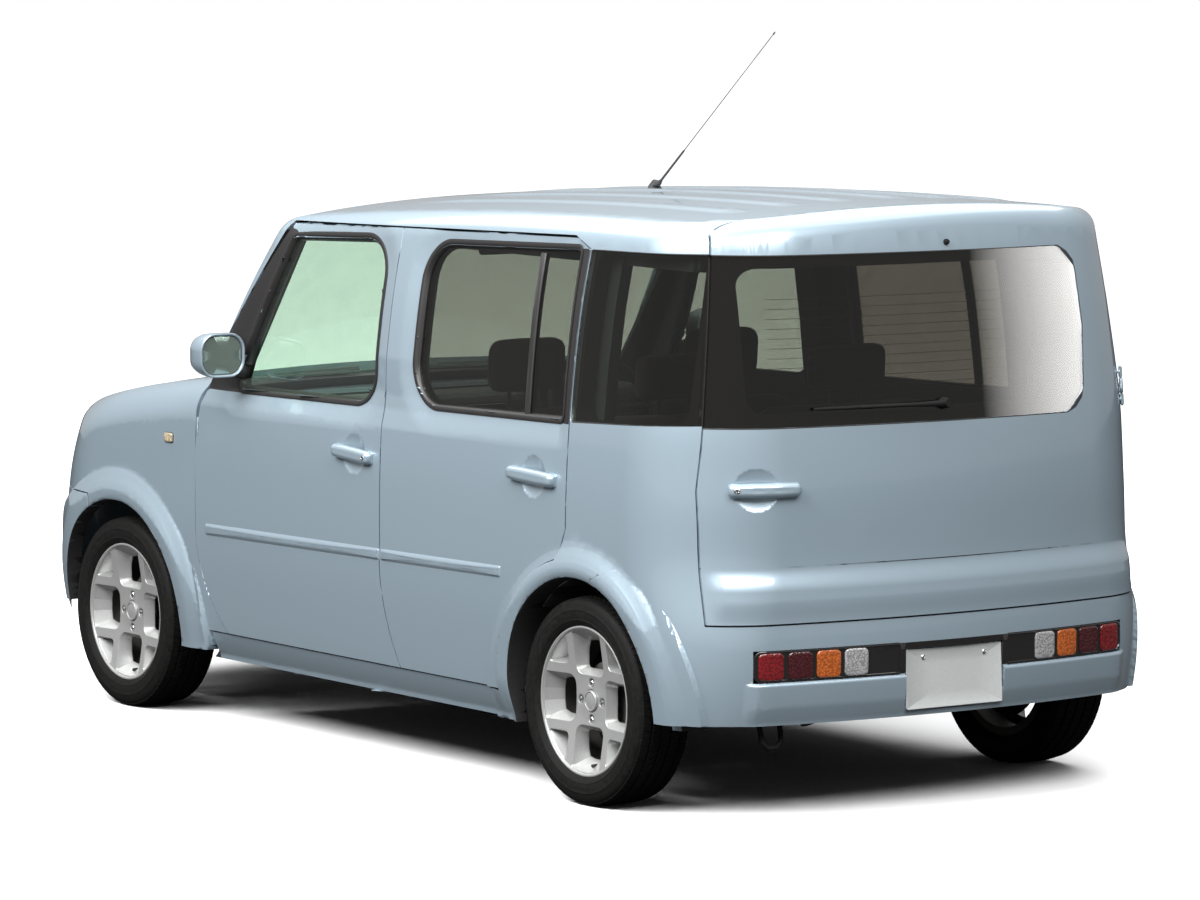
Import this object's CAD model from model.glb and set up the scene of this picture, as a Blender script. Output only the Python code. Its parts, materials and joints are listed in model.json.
import bmesh
import bpy
import json
import math
import numpy as np
from mathutils import Matrix, Vector
from mathutils.geometry import delaunay_2d_cdt

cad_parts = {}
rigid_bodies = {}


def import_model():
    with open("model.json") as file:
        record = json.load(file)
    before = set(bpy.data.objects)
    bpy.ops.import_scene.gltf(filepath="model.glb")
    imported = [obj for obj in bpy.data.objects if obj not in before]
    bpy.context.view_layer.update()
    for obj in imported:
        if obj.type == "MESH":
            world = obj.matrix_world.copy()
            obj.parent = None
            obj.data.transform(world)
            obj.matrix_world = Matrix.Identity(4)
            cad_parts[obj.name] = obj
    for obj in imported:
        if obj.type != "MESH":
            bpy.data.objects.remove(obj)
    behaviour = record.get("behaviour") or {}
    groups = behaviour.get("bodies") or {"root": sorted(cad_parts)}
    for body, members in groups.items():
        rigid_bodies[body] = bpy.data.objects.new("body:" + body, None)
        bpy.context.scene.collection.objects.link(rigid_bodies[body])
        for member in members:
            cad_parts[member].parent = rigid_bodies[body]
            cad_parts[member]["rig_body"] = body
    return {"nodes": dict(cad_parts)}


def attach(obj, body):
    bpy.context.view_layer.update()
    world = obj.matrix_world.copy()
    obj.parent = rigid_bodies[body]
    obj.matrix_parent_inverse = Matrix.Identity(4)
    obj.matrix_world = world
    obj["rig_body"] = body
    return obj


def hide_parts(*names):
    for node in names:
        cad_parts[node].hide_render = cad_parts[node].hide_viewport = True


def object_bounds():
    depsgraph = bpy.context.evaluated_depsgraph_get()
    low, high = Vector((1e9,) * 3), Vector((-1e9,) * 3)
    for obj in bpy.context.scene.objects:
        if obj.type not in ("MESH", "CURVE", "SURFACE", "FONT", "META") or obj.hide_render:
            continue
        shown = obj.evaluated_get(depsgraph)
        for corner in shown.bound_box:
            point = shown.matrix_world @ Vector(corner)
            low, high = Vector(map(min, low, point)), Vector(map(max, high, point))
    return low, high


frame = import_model()
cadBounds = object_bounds()
scene = bpy.context.scene
nodeBody = {name: obj["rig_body"] for name, obj in frame["nodes"].items()}

# ---- materials ----


def newMaterial(name, color, roughness, metallic=0.0, coat=0.0, coatRoughness=0.03):
    material = bpy.data.materials.new(name)
    material.use_nodes = True
    shader = material.node_tree.nodes["Principled BSDF"]
    shader.inputs["Base Color"].default_value = (*color, 1)
    shader.inputs["Roughness"].default_value = roughness
    shader.inputs["Metallic"].default_value = metallic
    shader.inputs["Coat Weight"].default_value = coat
    shader.inputs["Coat Roughness"].default_value = coatRoughness
    return material, shader


def addNode(material, kind, values=None, settings=None):
    made = material.node_tree.nodes.new(kind)
    for key, value in (settings or {}).items():
        setattr(made, key, value)
    for key, value in (values or {}).items():
        made.inputs[key].default_value = value
    return made


def join(material, source, target):
    material.node_tree.links.new(source, target)


def noiseOn(material, scale, detail=3.0, roughness=0.5):
    place = addNode(material, "ShaderNodeTexCoord")
    noise = addNode(material, "ShaderNodeTexNoise", {"Scale": scale, "Detail": detail, "Roughness": roughness})
    join(material, place.outputs["Object"], noise.inputs["Vector"])
    return noise


def ramp(material, source, low, high, start=0.35, end=0.65):
    made = addNode(material, "ShaderNodeMapRange", {"From Min": start, "From Max": end, "To Min": low, "To Max": high})
    join(material, source, made.inputs["Value"])
    return made.outputs["Result"]


def colorRamp(material, source, dark, light, start=0.35, end=0.65):
    made = addNode(material, "ShaderNodeValToRGB")
    made.color_ramp.elements[0].position = start
    made.color_ramp.elements[0].color = (*dark, 1)
    made.color_ramp.elements[1].position = end
    made.color_ramp.elements[1].color = (*light, 1)
    join(material, source, made.inputs["Fac"])
    return made.outputs["Color"]


def bumpFrom(material, shader, source, strength, distance):
    bump = addNode(material, "ShaderNodeBump", {"Strength": strength, "Distance": distance})
    join(material, source, bump.inputs["Height"])
    join(material, bump.outputs["Normal"], shader.inputs["Normal"])
    return bump


def tintedGlass(name, tint, roughness=0.0, shine=0.6):
    # see-through tint with a clear reflection that grows towards grazing view
    material = bpy.data.materials.new(name)
    material.use_nodes = True
    tree = material.node_tree
    tree.nodes.remove(tree.nodes["Principled BSDF"])
    clear = addNode(material, "ShaderNodeBsdfTransparent", {"Color": (*tint, 1)})
    gloss = addNode(material, "ShaderNodeBsdfGlossy", {"Color": (1, 1, 1, 1), "Roughness": roughness})
    edge = addNode(material, "ShaderNodeLayerWeight", {"Blend": 0.5})
    steep = addNode(material, "ShaderNodeMath", {1: 4.5}, {"operation": "POWER"})
    part = ramp(material, steep.outputs["Value"], 0.04, shine, 0.0, 1.0)
    mix = addNode(material, "ShaderNodeMixShader")
    smear = noiseOn(material, 14.0)
    join(material, colorRamp(material, smear.outputs["Fac"], tuple(c * 0.985 for c in tint), tint), clear.inputs["Color"])
    join(material, edge.outputs["Facing"], steep.inputs[0])
    join(material, part, mix.inputs["Fac"])
    join(material, clear.outputs["BSDF"], mix.inputs[1])
    join(material, gloss.outputs["BSDF"], mix.inputs[2])
    join(material, mix.outputs["Shader"], tree.nodes["Material Output"].inputs["Surface"])
    return material


paintColors = dict(light=(0.297, 0.377, 0.437), dark=(0.282, 0.358, 0.415), flakeScale=1900.0)


def makePaint():
    material, shader = newMaterial("paint", paintColors["light"], 0.36, 0.42, 0.9, 0.04)
    flake = noiseOn(material, paintColors["flakeScale"], 1.0)
    join(material, colorRamp(material, flake.outputs["Fac"], paintColors["dark"], paintColors["light"], 0.42, 0.58),
         shader.inputs["Base Color"])
    join(material, ramp(material, flake.outputs["Fac"], 0.3, 0.42), shader.inputs["Roughness"])
    return material


def makePlastic(name, color, roughness, grain, depth):
    material, shader = newMaterial(name, color, roughness)
    noise = noiseOn(material, grain, 4.0)
    lighter = tuple(min(1.0, c * 1.35 + 0.003) for c in color)
    join(material, colorRamp(material, noise.outputs["Fac"], color, lighter), shader.inputs["Base Color"])
    bumpFrom(material, shader, noise.outputs["Fac"], 0.25, depth)
    return material


def makeMetal(name, color, roughness, scale=40.0, metallic=1.0, spread=0.12):
    material, shader = newMaterial(name, color, roughness, metallic)
    noise = noiseOn(material, scale, 4.0)
    darker = tuple(c * 0.9 for c in color)
    join(material, colorRamp(material, noise.outputs["Fac"], darker, color), shader.inputs["Base Color"])
    join(material, ramp(material, noise.outputs["Fac"], roughness, roughness + spread), shader.inputs["Roughness"])
    return material


def makeRubber():
    material, shader = newMaterial("tyreRubber", (0.012, 0.012, 0.012), 0.62)
    shader.inputs["Specular IOR Level"].default_value = 0.1
    noise = noiseOn(material, 90.0, 5.0)
    join(material, colorRamp(material, noise.outputs["Fac"], (0.006, 0.006, 0.006), (0.011, 0.0105, 0.01)),
         shader.inputs["Base Color"])
    join(material, ramp(material, noise.outputs["Fac"], 0.52, 0.72), shader.inputs["Roughness"])
    bumpFrom(material, shader, noise.outputs["Fac"], 0.2, 0.0004)
    return material


def makeCloth(name, dark, light, pitch):
    material, shader = newMaterial(name, dark, 0.9)
    shader.inputs["Sheen Weight"].default_value = 0.35
    place = addNode(material, "ShaderNodeTexCoord")
    warp = addNode(material, "ShaderNodeTexWave", {"Scale": pitch, "Distortion": 0.6}, {"bands_direction": "X"})
    weft = addNode(material, "ShaderNodeTexWave", {"Scale": pitch, "Distortion": 0.6}, {"bands_direction": "Z"})
    join(material, place.outputs["Object"], warp.inputs["Vector"])
    join(material, place.outputs["Object"], weft.inputs["Vector"])
    weave = addNode(material, "ShaderNodeMath", None, {"operation": "MULTIPLY"})
    join(material, warp.outputs["Fac"], weave.inputs[0])
    join(material, weft.outputs["Fac"], weave.inputs[1])
    join(material, colorRamp(material, weave.outputs["Value"], dark, light, 0.1, 0.8), shader.inputs["Base Color"])
    bumpFrom(material, shader, weave.outputs["Value"], 0.4, 0.0006)
    return material


def makeLens(name, color, glow, ribs):
    material, shader = newMaterial(name, color, 0.08, 0.0, 1.0, 0.02)
    shader.inputs["Transmission Weight"].default_value = 0.15
    shader.inputs["Emission Color"].default_value = (*color, 1)
    shader.inputs["Emission Strength"].default_value = glow
    place = addNode(material, "ShaderNodeTexCoord")
    cells = addNode(material, "ShaderNodeTexVoronoi", {"Scale": ribs})
    join(material, place.outputs["Object"], cells.inputs["Vector"])
    darker = tuple(c * 0.45 for c in color)
    join(material, colorRamp(material, cells.outputs["Distance"], color, darker, 0.1, 0.7), shader.inputs["Base Color"])
    bumpFrom(material, shader, cells.outputs["Distance"], 0.8, 0.0015)
    return material


paint = makePaint()
blackTrim = makePlastic("blackTrim", (0.012, 0.011, 0.011), 0.42, 600.0, 0.0002)
softBlack = makePlastic("softBlack", (0.018, 0.018, 0.019), 0.7, 320.0, 0.0004)
cabinPlastic = makePlastic("cabinPlastic", (0.05, 0.05, 0.052), 0.62, 420.0, 0.0004)
cabinLight = makePlastic("cabinLight", (0.3, 0.29, 0.27), 0.75, 420.0, 0.0004)
plateWhite = makePlastic("plateWhite", (0.36, 0.375, 0.37), 0.4, 700.0, 0.00005)
matteBlack = makePlastic("matteBlack", (0.008, 0.008, 0.008), 0.7, 400.0, 0.0002)
matteBlack.node_tree.nodes["Principled BSDF"].inputs["Specular IOR Level"].default_value = 0.12
steel = makeMetal("roadSteel", (0.09, 0.088, 0.085), 0.55, 25.0, 0.8)
castIron = makeMetal("castIron", (0.12, 0.115, 0.11), 0.65, 60.0, 0.7)
engineCast = makeMetal("engineCast", (0.36, 0.36, 0.36), 0.5, 30.0, 0.9)
alloy = makeMetal("alloy", (0.44, 0.445, 0.44), 0.36, 300.0, 0.55, 0.04)
brightMetal = makeMetal("brightMetal", (0.75, 0.75, 0.76), 0.16, 60.0, 1.0, 0.05)
mirrorGlass = makeMetal("mirrorGlass", (0.5, 0.62, 0.56), 0.2, 5.0, 0.85, 0.02)
rubber = makeRubber()
seatCloth = makeCloth("seatCloth", (0.045, 0.043, 0.042), (0.085, 0.082, 0.08), 260.0)
clearGlass = tintedGlass("clearGlass", (0.84, 0.92, 0.86))
privacyGlass = tintedGlass("privacyGlass", (0.5, 0.49, 0.46))
redLens = makeLens("redLens", (0.24, 0.006, 0.01), 0.02, 150.0)
darkRedLens = makeLens("darkRedLens", (0.075, 0.004, 0.008), 0.01, 150.0)
amberLens = makeLens("amberLens", (0.62, 0.14, 0.02), 0.05, 150.0)
whiteLens = makeLens("whiteLens", (0.5, 0.5, 0.5), 0.02, 170.0)
headLens = makeLens("headLens", (0.7, 0.72, 0.74), 0.03, 60.0)
heaterBrown = makePlastic("heaterBrown", (0.09, 0.05, 0.03), 0.5, 200.0, 0.0001)
repeaterLens = makeLens("repeaterLens", (0.75, 0.62, 0.42), 0.03, 120.0)
lampBlack, lampBlackShader = newMaterial("lampBlack", (0.012, 0.011, 0.011), 0.12, 0.0, 0.6)
join(lampBlack, ramp(lampBlack, noiseOn(lampBlack, 45.0).outputs["Fac"], 0.08, 0.2), lampBlackShader.inputs["Roughness"])
print("materials done")

# ---- the body's outer form, for its normals ----


def spline(xs, ys):
    xs, ys = np.array(xs, float), np.array(ys, float)
    n = len(xs)
    step = np.diff(xs)
    matrix, right = np.eye(n), np.zeros(n)
    for i in range(1, n - 1):
        matrix[i, i - 1: i + 2] = step[i - 1], 2 * (step[i - 1] + step[i]), step[i]
        right[i] = 6 * ((ys[i + 1] - ys[i]) / step[i] - (ys[i] - ys[i - 1]) / step[i - 1])
    curve = np.linalg.solve(matrix, right)

    def value(x):
        x = np.clip(x, xs[0], xs[-1])
        i = np.clip(np.searchsorted(xs, x) - 1, 0, n - 2)
        a, b, h = xs[i + 1] - x, x - xs[i], step[i]
        return ((curve[i] * a**3 + curve[i + 1] * b**3) / (6 * h)
                + (ys[i] / h - curve[i] * h / 6) * a + (ys[i + 1] / h - curve[i + 1] * h / 6) * b)
    return value


# height, half width, rearmost point, rear corner radius
cabinLevels = [(0.193, 0.781, 1.83, 0.235), (0.27, 0.793, 1.85, 0.255), (0.34, 0.801, 1.86, 0.263),
               (0.42, 0.809, 1.864, 0.272), (0.5, 0.816, 1.862, 0.288), (0.6, 0.821, 1.853, 0.318),
               (0.698, 0.822, 1.845, 0.34), (0.83, 0.821, 1.843, 0.35), (0.95, 0.816, 1.838, 0.348),
               (1.04, 0.81, 1.832, 0.34), (1.208, 0.793, 1.818, 0.34), (1.358, 0.772, 1.805, 0.342),
               (1.466, 0.751, 1.793, 0.332), (1.568, 0.729, 1.78, 0.315), (1.7, 0.698, 1.764, 0.3)]
# height, half width, foremost point
noseLevels = [(0.235, 0.786, -1.835), (0.3, 0.797, -1.853), (0.38, 0.806, -1.863), (0.5, 0.815, -1.862),
              (0.6, 0.82, -1.847), (0.743, 0.82, -1.811), (0.822, 0.819, -1.775), (0.893, 0.817, -1.735),
              (1.0, 0.812, -1.665), (1.12, 0.806, -1.575)]
cabinHeights = [row[0] for row in cabinLevels]
cabinHalf, cabinRear, cabinCorner = (spline(cabinHeights, [row[i] for row in cabinLevels]) for i in (1, 2, 3))
noseHeights = [row[0] for row in noseLevels]
noseHalf, noseFront = (spline(noseHeights, [row[i] for row in noseLevels]) for i in (1, 2))
bodyForm = dict(rearBow=0.157, noseBow=0.25, noseCorner=0.43, roofTop=1.648, roofApexY=1.4, roofLong=20.4,
                roofCross=5.5, roofEdge=0.062, bonnetTop=1.063, bonnetApexY=-0.449, bonnetLong=4.3,
                bonnetCross=9.0, bonnetEdge=0.105, screenFootZ=0.993, screenFootY=-0.905, screenHeadZ=1.533,
                screenHeadY=-0.438, footSweep=0.18, headSweep=0.092, halfFoot=0.785, screenEdge=0.012)


def roundMax(a, b, radius):
    u, v = a + radius, b + radius
    return np.minimum(np.maximum(u, v), 0) + np.hypot(np.maximum(u, 0), np.maximum(v, 0)) - radius


def planDistance(x, y, half, end, corner, bow):
    # the distance from a plan outline: straight side, bowed end, and a true round corner between them
    reach = half - corner
    touch = reach * 1.0
    for step in range(6):
        slope = 2 * bow * touch
        touch = reach + corner * slope / np.hypot(1, slope)
    slope = 2 * bow * touch
    middle = end - bow * touch * touch - corner / np.hypot(1, slope)
    across, along = np.abs(x) - reach, y - middle
    side = np.abs(x) - half
    back = (y - end + bow * x * x) / np.hypot(1, 2 * bow * x)
    inCorner = (along > 0) & (across > along * slope)
    return np.where(inCorner, np.hypot(across, along) - corner, np.maximum(side, back))


def cabinDistance(x, y, z):
    f = bodyForm
    swell = 0.004 * np.clip(1 - ((y - 0.33) / 1.4) ** 2, 0, 1)
    plan = planDistance(x, y, cabinHalf(z) + swell, cabinRear(z), cabinCorner(z), f["rearBow"])
    crown = z - f["roofTop"] + (y - f["roofApexY"]) ** 2 / (2 * f["roofLong"]) + x * x / (2 * f["roofCross"])
    closed = roundMax(plan, crown, f["roofEdge"])
    up = (z - f["screenFootZ"]) / (f["screenHeadZ"] - f["screenFootZ"])
    slope = (f["screenHeadY"] - f["screenFootY"]) / (f["screenHeadZ"] - f["screenFootZ"])
    sweep = (f["footSweep"] + up * (f["headSweep"] - f["footSweep"])) * (x / f["halfFoot"]) ** 2
    screen = (f["screenFootY"] + slope * (z - f["screenFootZ"]) + sweep - y) / math.hypot(1, slope)
    return roundMax(closed, screen, f["screenEdge"])


def noseDistance(x, y, z):
    f = bodyForm
    plan = planDistance(x, -y, noseHalf(z) + 0.001, -noseFront(z), np.full(np.shape(z), f["noseCorner"]), f["noseBow"])
    crown = z - f["bonnetTop"] + (y - f["bonnetApexY"]) ** 2 / (2 * f["bonnetLong"]) + x * x / (2 * f["bonnetCross"])
    return roundMax(plan, crown, f["bonnetEdge"])


def formNormals(distance, points):
    x, y, z = points.T
    e = 0.0015
    grad = np.stack([distance(x + e, y, z) - distance(x - e, y, z), distance(x, y + e, z) - distance(x, y - e, z),
                     distance(x, y, z + e) - distance(x, y, z - e)], 1)
    return grad / np.maximum(np.linalg.norm(grad, axis=1, keepdims=True), 1e-9)


# ---- small mesh tools ----


def place(name, mesh, body, material, slot=None):
    obj = bpy.data.objects.new(name, mesh)
    scene.collection.objects.link(obj)
    if material:
        mesh.materials.clear()
        mesh.materials.append(material)
    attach(obj, body)
    return obj


def smooth(mesh, angle=35):
    mesh.polygons.foreach_set("use_smooth", [True] * len(mesh.polygons))
    mesh.set_sharp_from_angle(angle=math.radians(angle))


def meshFrom(name, points, faces, angle=35):
    mesh = bpy.data.meshes.new(name)
    mesh.from_pydata([tuple(p) for p in points], [], faces)
    mesh.update()
    smooth(mesh, angle)
    return mesh


def splitPanel(work, cuts):
    # cuts: (axis, places) pairs, where the skin needs more points
    for axis, places in cuts:
        normal = Vector((0, 0, 0))
        normal[axis] = 1
        for spot in places:
            origin = Vector((0, 0, 0))
            origin[axis] = spot
            bmesh.ops.bisect_plane(work, geom=work.verts[:] + work.edges[:] + work.faces[:], plane_co=origin,
                                   plane_no=normal, dist=1e-6)


def splitAlong(work, polygon, flat):
    # flat: the axis the outline is run along (0 for the sides, 1 for the rear)
    for (a, b), (c, d) in zip(polygon, polygon[1:] + polygon[:1]):
        first, second = (Vector((0, a, b)), Vector((0, c, d))) if flat == 0 else (Vector((a, 0, b)), Vector((c, 0, d)))
        along = second - first
        across = Vector((1, 0, 0)) if flat == 0 else Vector((0, 1, 0))
        bmesh.ops.bisect_plane(work, geom=work.verts[:] + work.edges[:] + work.faces[:], plane_co=first,
                               plane_no=along.cross(across).normalized(), dist=1e-6)


def insidePolygon(polygon, u, v):
    inside = np.zeros(len(u), bool)
    for (a, b), (c, d) in zip(polygon, polygon[1:] + polygon[:1]):
        crossing = ((b > v) != (d > v)) & (u < (c - a) * (v - b) / ((d - b) if d != b else 1e-9) + a)
        inside ^= crossing
    return inside


def archWall(points, normals):
    # the faces inside a wheel arch, which are black
    found = np.zeros(len(points), bool)
    for y in (-1.185, 1.245):
        inward = np.stack([y - points[:, 1], 0.288 - points[:, 2]], 1)
        arc = np.hypot(*inward.T)
        toward = (normals[:, 1:] * inward).sum(1) / np.maximum(arc, 1e-6)
        found |= (np.abs(arc - 0.342) < 0.005) & (toward > 0.6)
    return found & (points[:, 2] < 0.64)


def arcRange(y, z):
    # how far a place is from the nearer axle
    return np.minimum(np.hypot(y + 1.185, z - 0.288), np.hypot(y - 1.245, z - 0.288))


def dressPanel(nodeName, material, distance=None, relief=None, cuts=(), regions=(), lining=None, reach=0.02, tilt=35,
               sink=0.0, lined=-0.2, leftOnly=False):
    mesh = frame["nodes"][nodeName].data.copy()
    mesh.name = nodeName + "Skin"
    work = bmesh.new()
    work.from_mesh(mesh)
    bmesh.ops.remove_doubles(work, verts=work.verts, dist=2e-5)
    splitPanel(work, cuts)
    for polygon, flat, paintedWith in regions:
        splitAlong(work, polygon, flat)
    bmesh.ops.dissolve_degenerate(work, edges=work.edges, dist=2e-5)
    if cuts or regions:
        bmesh.ops.triangulate(work, faces=[f for f in work.faces if len(f.verts) > 4])
    work.to_mesh(mesh)
    work.free()
    points = np.zeros(len(mesh.vertices) * 3)
    mesh.vertices.foreach_get("co", points)
    points = points.reshape(-1, 3)
    if distance:
        off = distance(*points.T)
        push = np.zeros(len(points)) - sink
        if relief:
            outer = off > -0.0016
            push[outer] += relief(*points[outer].T)
        moved = points + formNormals(distance, points) * push[:, None]
        mesh.vertices.foreach_set("co", moved.ravel())
        mesh.update()
    smooth(mesh, 30)
    mesh.materials.clear()
    mesh.materials.append(material)
    centres = np.zeros(len(mesh.polygons) * 3)
    mesh.polygons.foreach_get("center", centres)
    centres = centres.reshape(-1, 3)
    flatNormals = np.zeros(len(mesh.polygons) * 3)
    mesh.polygons.foreach_get("normal", flatNormals)
    flatNormals = flatNormals.reshape(-1, 3)
    slots = np.zeros(len(mesh.polygons), int)
    if distance:
        outward = formNormals(distance, centres)
        facing = (flatNormals * outward).sum(1)
        depth = -distance(*centres.T)
        if lining:
            mesh.materials.append(lining)
            slots[(facing < lined) & (depth > 0.012)] = 1
        for polygon, flat, paintedWith in regions:
            mesh.materials.append(paintedWith)
            u, v = (centres[:, 1], centres[:, 2]) if flat == 0 else (centres[:, 0], centres[:, 2])
            within = insidePolygon(polygon, u, v) & (facing > 0.3) & (depth < 0.03)
            slots[within & ((centres[:, 0] > 0) | (not leftOnly))] = len(mesh.materials) - 1
        mesh.materials.append(softBlack)
        slots[archWall(centres, flatNormals)] = len(mesh.materials) - 1
        mesh.polygons.foreach_set("material_index", slots)
        full = (lambda x, y, z: distance(x, y, z) - relief(x, y, z) + sink) if relief else distance
        count = len(mesh.loops)
        corner = np.zeros(count, int)
        mesh.loops.foreach_get("vertex_index", corner)
        now = np.zeros(len(mesh.vertices) * 3)
        mesh.vertices.foreach_get("co", now)
        now = now.reshape(-1, 3)
        wanted = formNormals(full, now)[corner]
        have = np.zeros(count * 3)
        mesh.corner_normals.foreach_get("vector", have)
        have = have.reshape(-1, 3)
        sizes = np.zeros(len(mesh.polygons), int)
        mesh.polygons.foreach_get("loop_total", sizes)
        flatCorner = np.repeat(flatNormals, sizes, axis=0)
        near = (np.abs(full(*now.T))[corner] < reach) & ((flatCorner * wanted).sum(1) > math.cos(math.radians(tilt)))
        near &= (arcRange(now[:, 1], now[:, 2])[corner] > 0.446) | (now[:, 2][corner] > 0.74)
        have[near] = wanted[near]
        mesh.normals_split_custom_set([tuple(n) for n in have])
    obj = bpy.data.objects.new(nodeName + "Skin", mesh)
    scene.collection.objects.link(obj)
    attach(obj, nodeBody[nodeName])
    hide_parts(nodeName)
    return obj


# ---- pieces that follow the body's form ----


def roundedLoop(corners, spacing=0.04, steps=8):
    # corners: (u, v, rounding); gives evenly placed points and their outward directions
    outline = np.array([(u, v) for u, v, r in corners], float)
    turn = np.sign(sum(a[0] * b[1] - a[1] * b[0] for a, b in zip(outline, np.roll(outline, -1, 0))))
    if turn < 0:
        corners = corners[::-1]
        outline = outline[::-1]
    n = len(corners)
    spots, outs = [], []
    arcs = []
    for i in range(n):
        before, here, after = outline[i - 1], outline[i], outline[(i + 1) % n]
        inward = (here - before) / np.linalg.norm(here - before)
        outward = (after - here) / np.linalg.norm(after - here)
        bend = math.acos(float(np.clip(inward @ outward, -1, 1)))
        cross = inward[0] * outward[1] - inward[1] * outward[0]
        reach = corners[i][2] * math.tan(bend / 2)
        arcs.append((here - inward * reach, here + outward * reach, inward, bend, math.copysign(1, cross), corners[i][2]))
    for i, (start, end, along, bend, side, radius) in enumerate(arcs):
        count = max(1, int(steps * bend / (math.pi / 2))) if radius > 1e-6 else 1
        middle = start + radius * side * np.array([-along[1], along[0]])
        for k in range(count + 1):
            angle = side * bend * k / count
            c, s = math.cos(angle), math.sin(angle)
            heading = np.array([along[0] * c - along[1] * s, along[0] * s + along[1] * c])
            normal = np.array([heading[1], -heading[0]])
            spots.append(middle + normal * radius * side)
            outs.append(normal)
        nextStart = arcs[(i + 1) % n][0]
        run = nextStart - end
        length = np.linalg.norm(run)
        pieces = int(length / spacing)
        for k in range(1, pieces):
            spots.append(end + run * k / pieces)
            outs.append(outs[-1] if k > 1 else np.array([run[1], -run[0]]) / max(length, 1e-9))
    return np.array(spots), np.array(outs)


solveFrom = {"left": (0.2, 1.2), "right": (0.2, 1.2), "rear": (0.3, 2.4), "nose": (0.9, 2.4), "roof": (0.6, 2.0),
             "bonnet": (0.3, 1.6), "screen": (0.0, 1.6), "wing": (0.2, 1.2), "wingRight": (0.2, 1.2)}


def spotAt(side, a, b, t):
    return {"left": (t, a, b), "right": (-t, a, b), "rear": (a, t, b), "nose": (a, -t, b), "roof": (a, b, t),
            "bonnet": (a, b, t), "screen": (a, -t, b), "wing": (t, a, b), "wingRight": (-t, a, b)}[side]


def onForm(side, relief=None):
    # a map from a flat place and a lift to a point over the body's surface
    distance = noseDistance if side in ("nose", "bonnet", "wing", "wingRight") else cabinDistance

    def mapper(a, b, lift):
        a, b = np.asarray(a, float), np.asarray(b, float)
        low = np.full(len(a), solveFrom[side][0])
        high = np.full(len(a), solveFrom[side][1])
        for step in range(30):
            middle = (low + high) / 2
            x, y, z = spotAt(side, a, b, middle)
            gap = distance(x, y, z) - (relief(x, y, z) if relief else 0)
            inside = gap < 0
            low = np.where(inside, middle, low)
            high = np.where(inside, high, middle)
        points = np.stack(np.broadcast_arrays(*spotAt(side, a, b, low)), 1)
        return points + formNormals(distance, points) * np.broadcast_to(np.asarray(lift, float), a.shape)[:, None]
    return mapper


def flatPlane(origin, uAxis, vAxis):
    origin, uAxis, vAxis = (np.array(v, float) for v in (origin, uAxis, vAxis))
    uAxis /= np.linalg.norm(uAxis)
    vAxis /= np.linalg.norm(vAxis)
    out = np.cross(uAxis, vAxis)

    def mapper(a, b, lift):
        a, b = np.asarray(a, float), np.asarray(b, float)
        lift = np.broadcast_to(np.asarray(lift, float), a.shape)
        return origin + a[:, None] * uAxis + b[:, None] * vAxis + lift[:, None] * out
    return mapper


def band(name, mapper, loop, profile, body, material, closeStart=False, closeEnd=True, rings=(0.6,), slot=None,
         swell=None, angle=35, replaces=None):
    # rows of points round a loop: profile gives (out, lift) of each row, and the ends may be filled
    spots, outs = loop
    n = len(spots)
    middle = spots.mean(0)
    rows = []

    def row(out, lift, scale=1.0):
        flat = middle + (spots + outs * out - middle) * scale
        extra = swell(flat[:, 0], flat[:, 1]) if swell else 0
        rows.append(mapper(flat[:, 0], flat[:, 1], lift + extra))
    points, faces = [], []
    if closeStart:
        for scale in rings[::-1]:
            row(profile[0][0], profile[0][1], scale)
    for out, lift in profile:
        row(out, lift)
    if closeEnd:
        for scale in rings:
            row(profile[-1][0], profile[-1][1], scale)
    points = np.concatenate(rows)
    for r in range(len(rows) - 1):
        for i in range(n):
            j = (i + 1) % n
            faces.append((r * n + i, r * n + j, (r + 1) * n + j, (r + 1) * n + i))
    caps = [(0, profile[0])] * closeStart + [(len(rows) - 1, profile[-1])] * closeEnd
    extraPoints = []
    for r, (out, lift) in caps:
        extra = swell(middle[:1], middle[1:]) if swell else 0
        extraPoints.append(mapper(middle[:1], middle[1:], np.array([lift]) + extra)[0])
        top = len(points) + len(extraPoints) - 1
        for i in range(n):
            j = (i + 1) % n
            faces.append((r * n + j, r * n + i, top) if r == 0 else (r * n + i, r * n + j, top))
    if extraPoints:
        points = np.concatenate([points, np.array(extraPoints)])
    mesh = meshFrom(name, points, faces, angle)
    if closeStart and closeEnd:
        work = bmesh.new()
        work.from_mesh(mesh)
        bmesh.ops.recalc_face_normals(work, faces=work.faces)
        work.to_mesh(mesh)
        work.free()
    else:
        probe = mapper(middle[:1], middle[1:], np.array([0.01]))[0] - mapper(middle[:1], middle[1:], np.array([0.0]))[0]
        total = sum((Vector(p.normal) * p.area).dot(Vector(probe)) for p in mesh.polygons)
        if total < 0:
            mesh.flip_normals()
    smooth(mesh, angle)
    obj = place(name, mesh, body, material, slot)
    if replaces:
        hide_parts(*replaces)
    return obj


def tube(name, path, radius, body, material, segments=12, slot=None):
    path = [Vector(p) for p in path]
    radii = radius if isinstance(radius, (list, tuple)) else [radius] * len(path)
    points, faces = [], []
    side = None
    for i, p in enumerate(path):
        along = (path[min(i + 1, len(path) - 1)] - path[max(i - 1, 0)]).normalized()
        side = (side - along * side.dot(along)).normalized() if side else along.orthogonal().normalized()
        other = along.cross(side)
        for k in range(segments):
            a = 2 * math.pi * k / segments
            points.append(p + (side * math.cos(a) + other * math.sin(a)) * radii[i])
    n = segments
    for i in range(len(path) - 1):
        for k in range(n):
            faces.append((i * n + k, i * n + (k + 1) % n, (i + 1) * n + (k + 1) % n, (i + 1) * n + k))
    faces.append(tuple(range(n))[::-1])
    faces.append(tuple((len(path) - 1) * n + k for k in range(n)))
    mesh = meshFrom(name, points, faces, 40)
    return place(name, mesh, body, material, slot)


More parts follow.
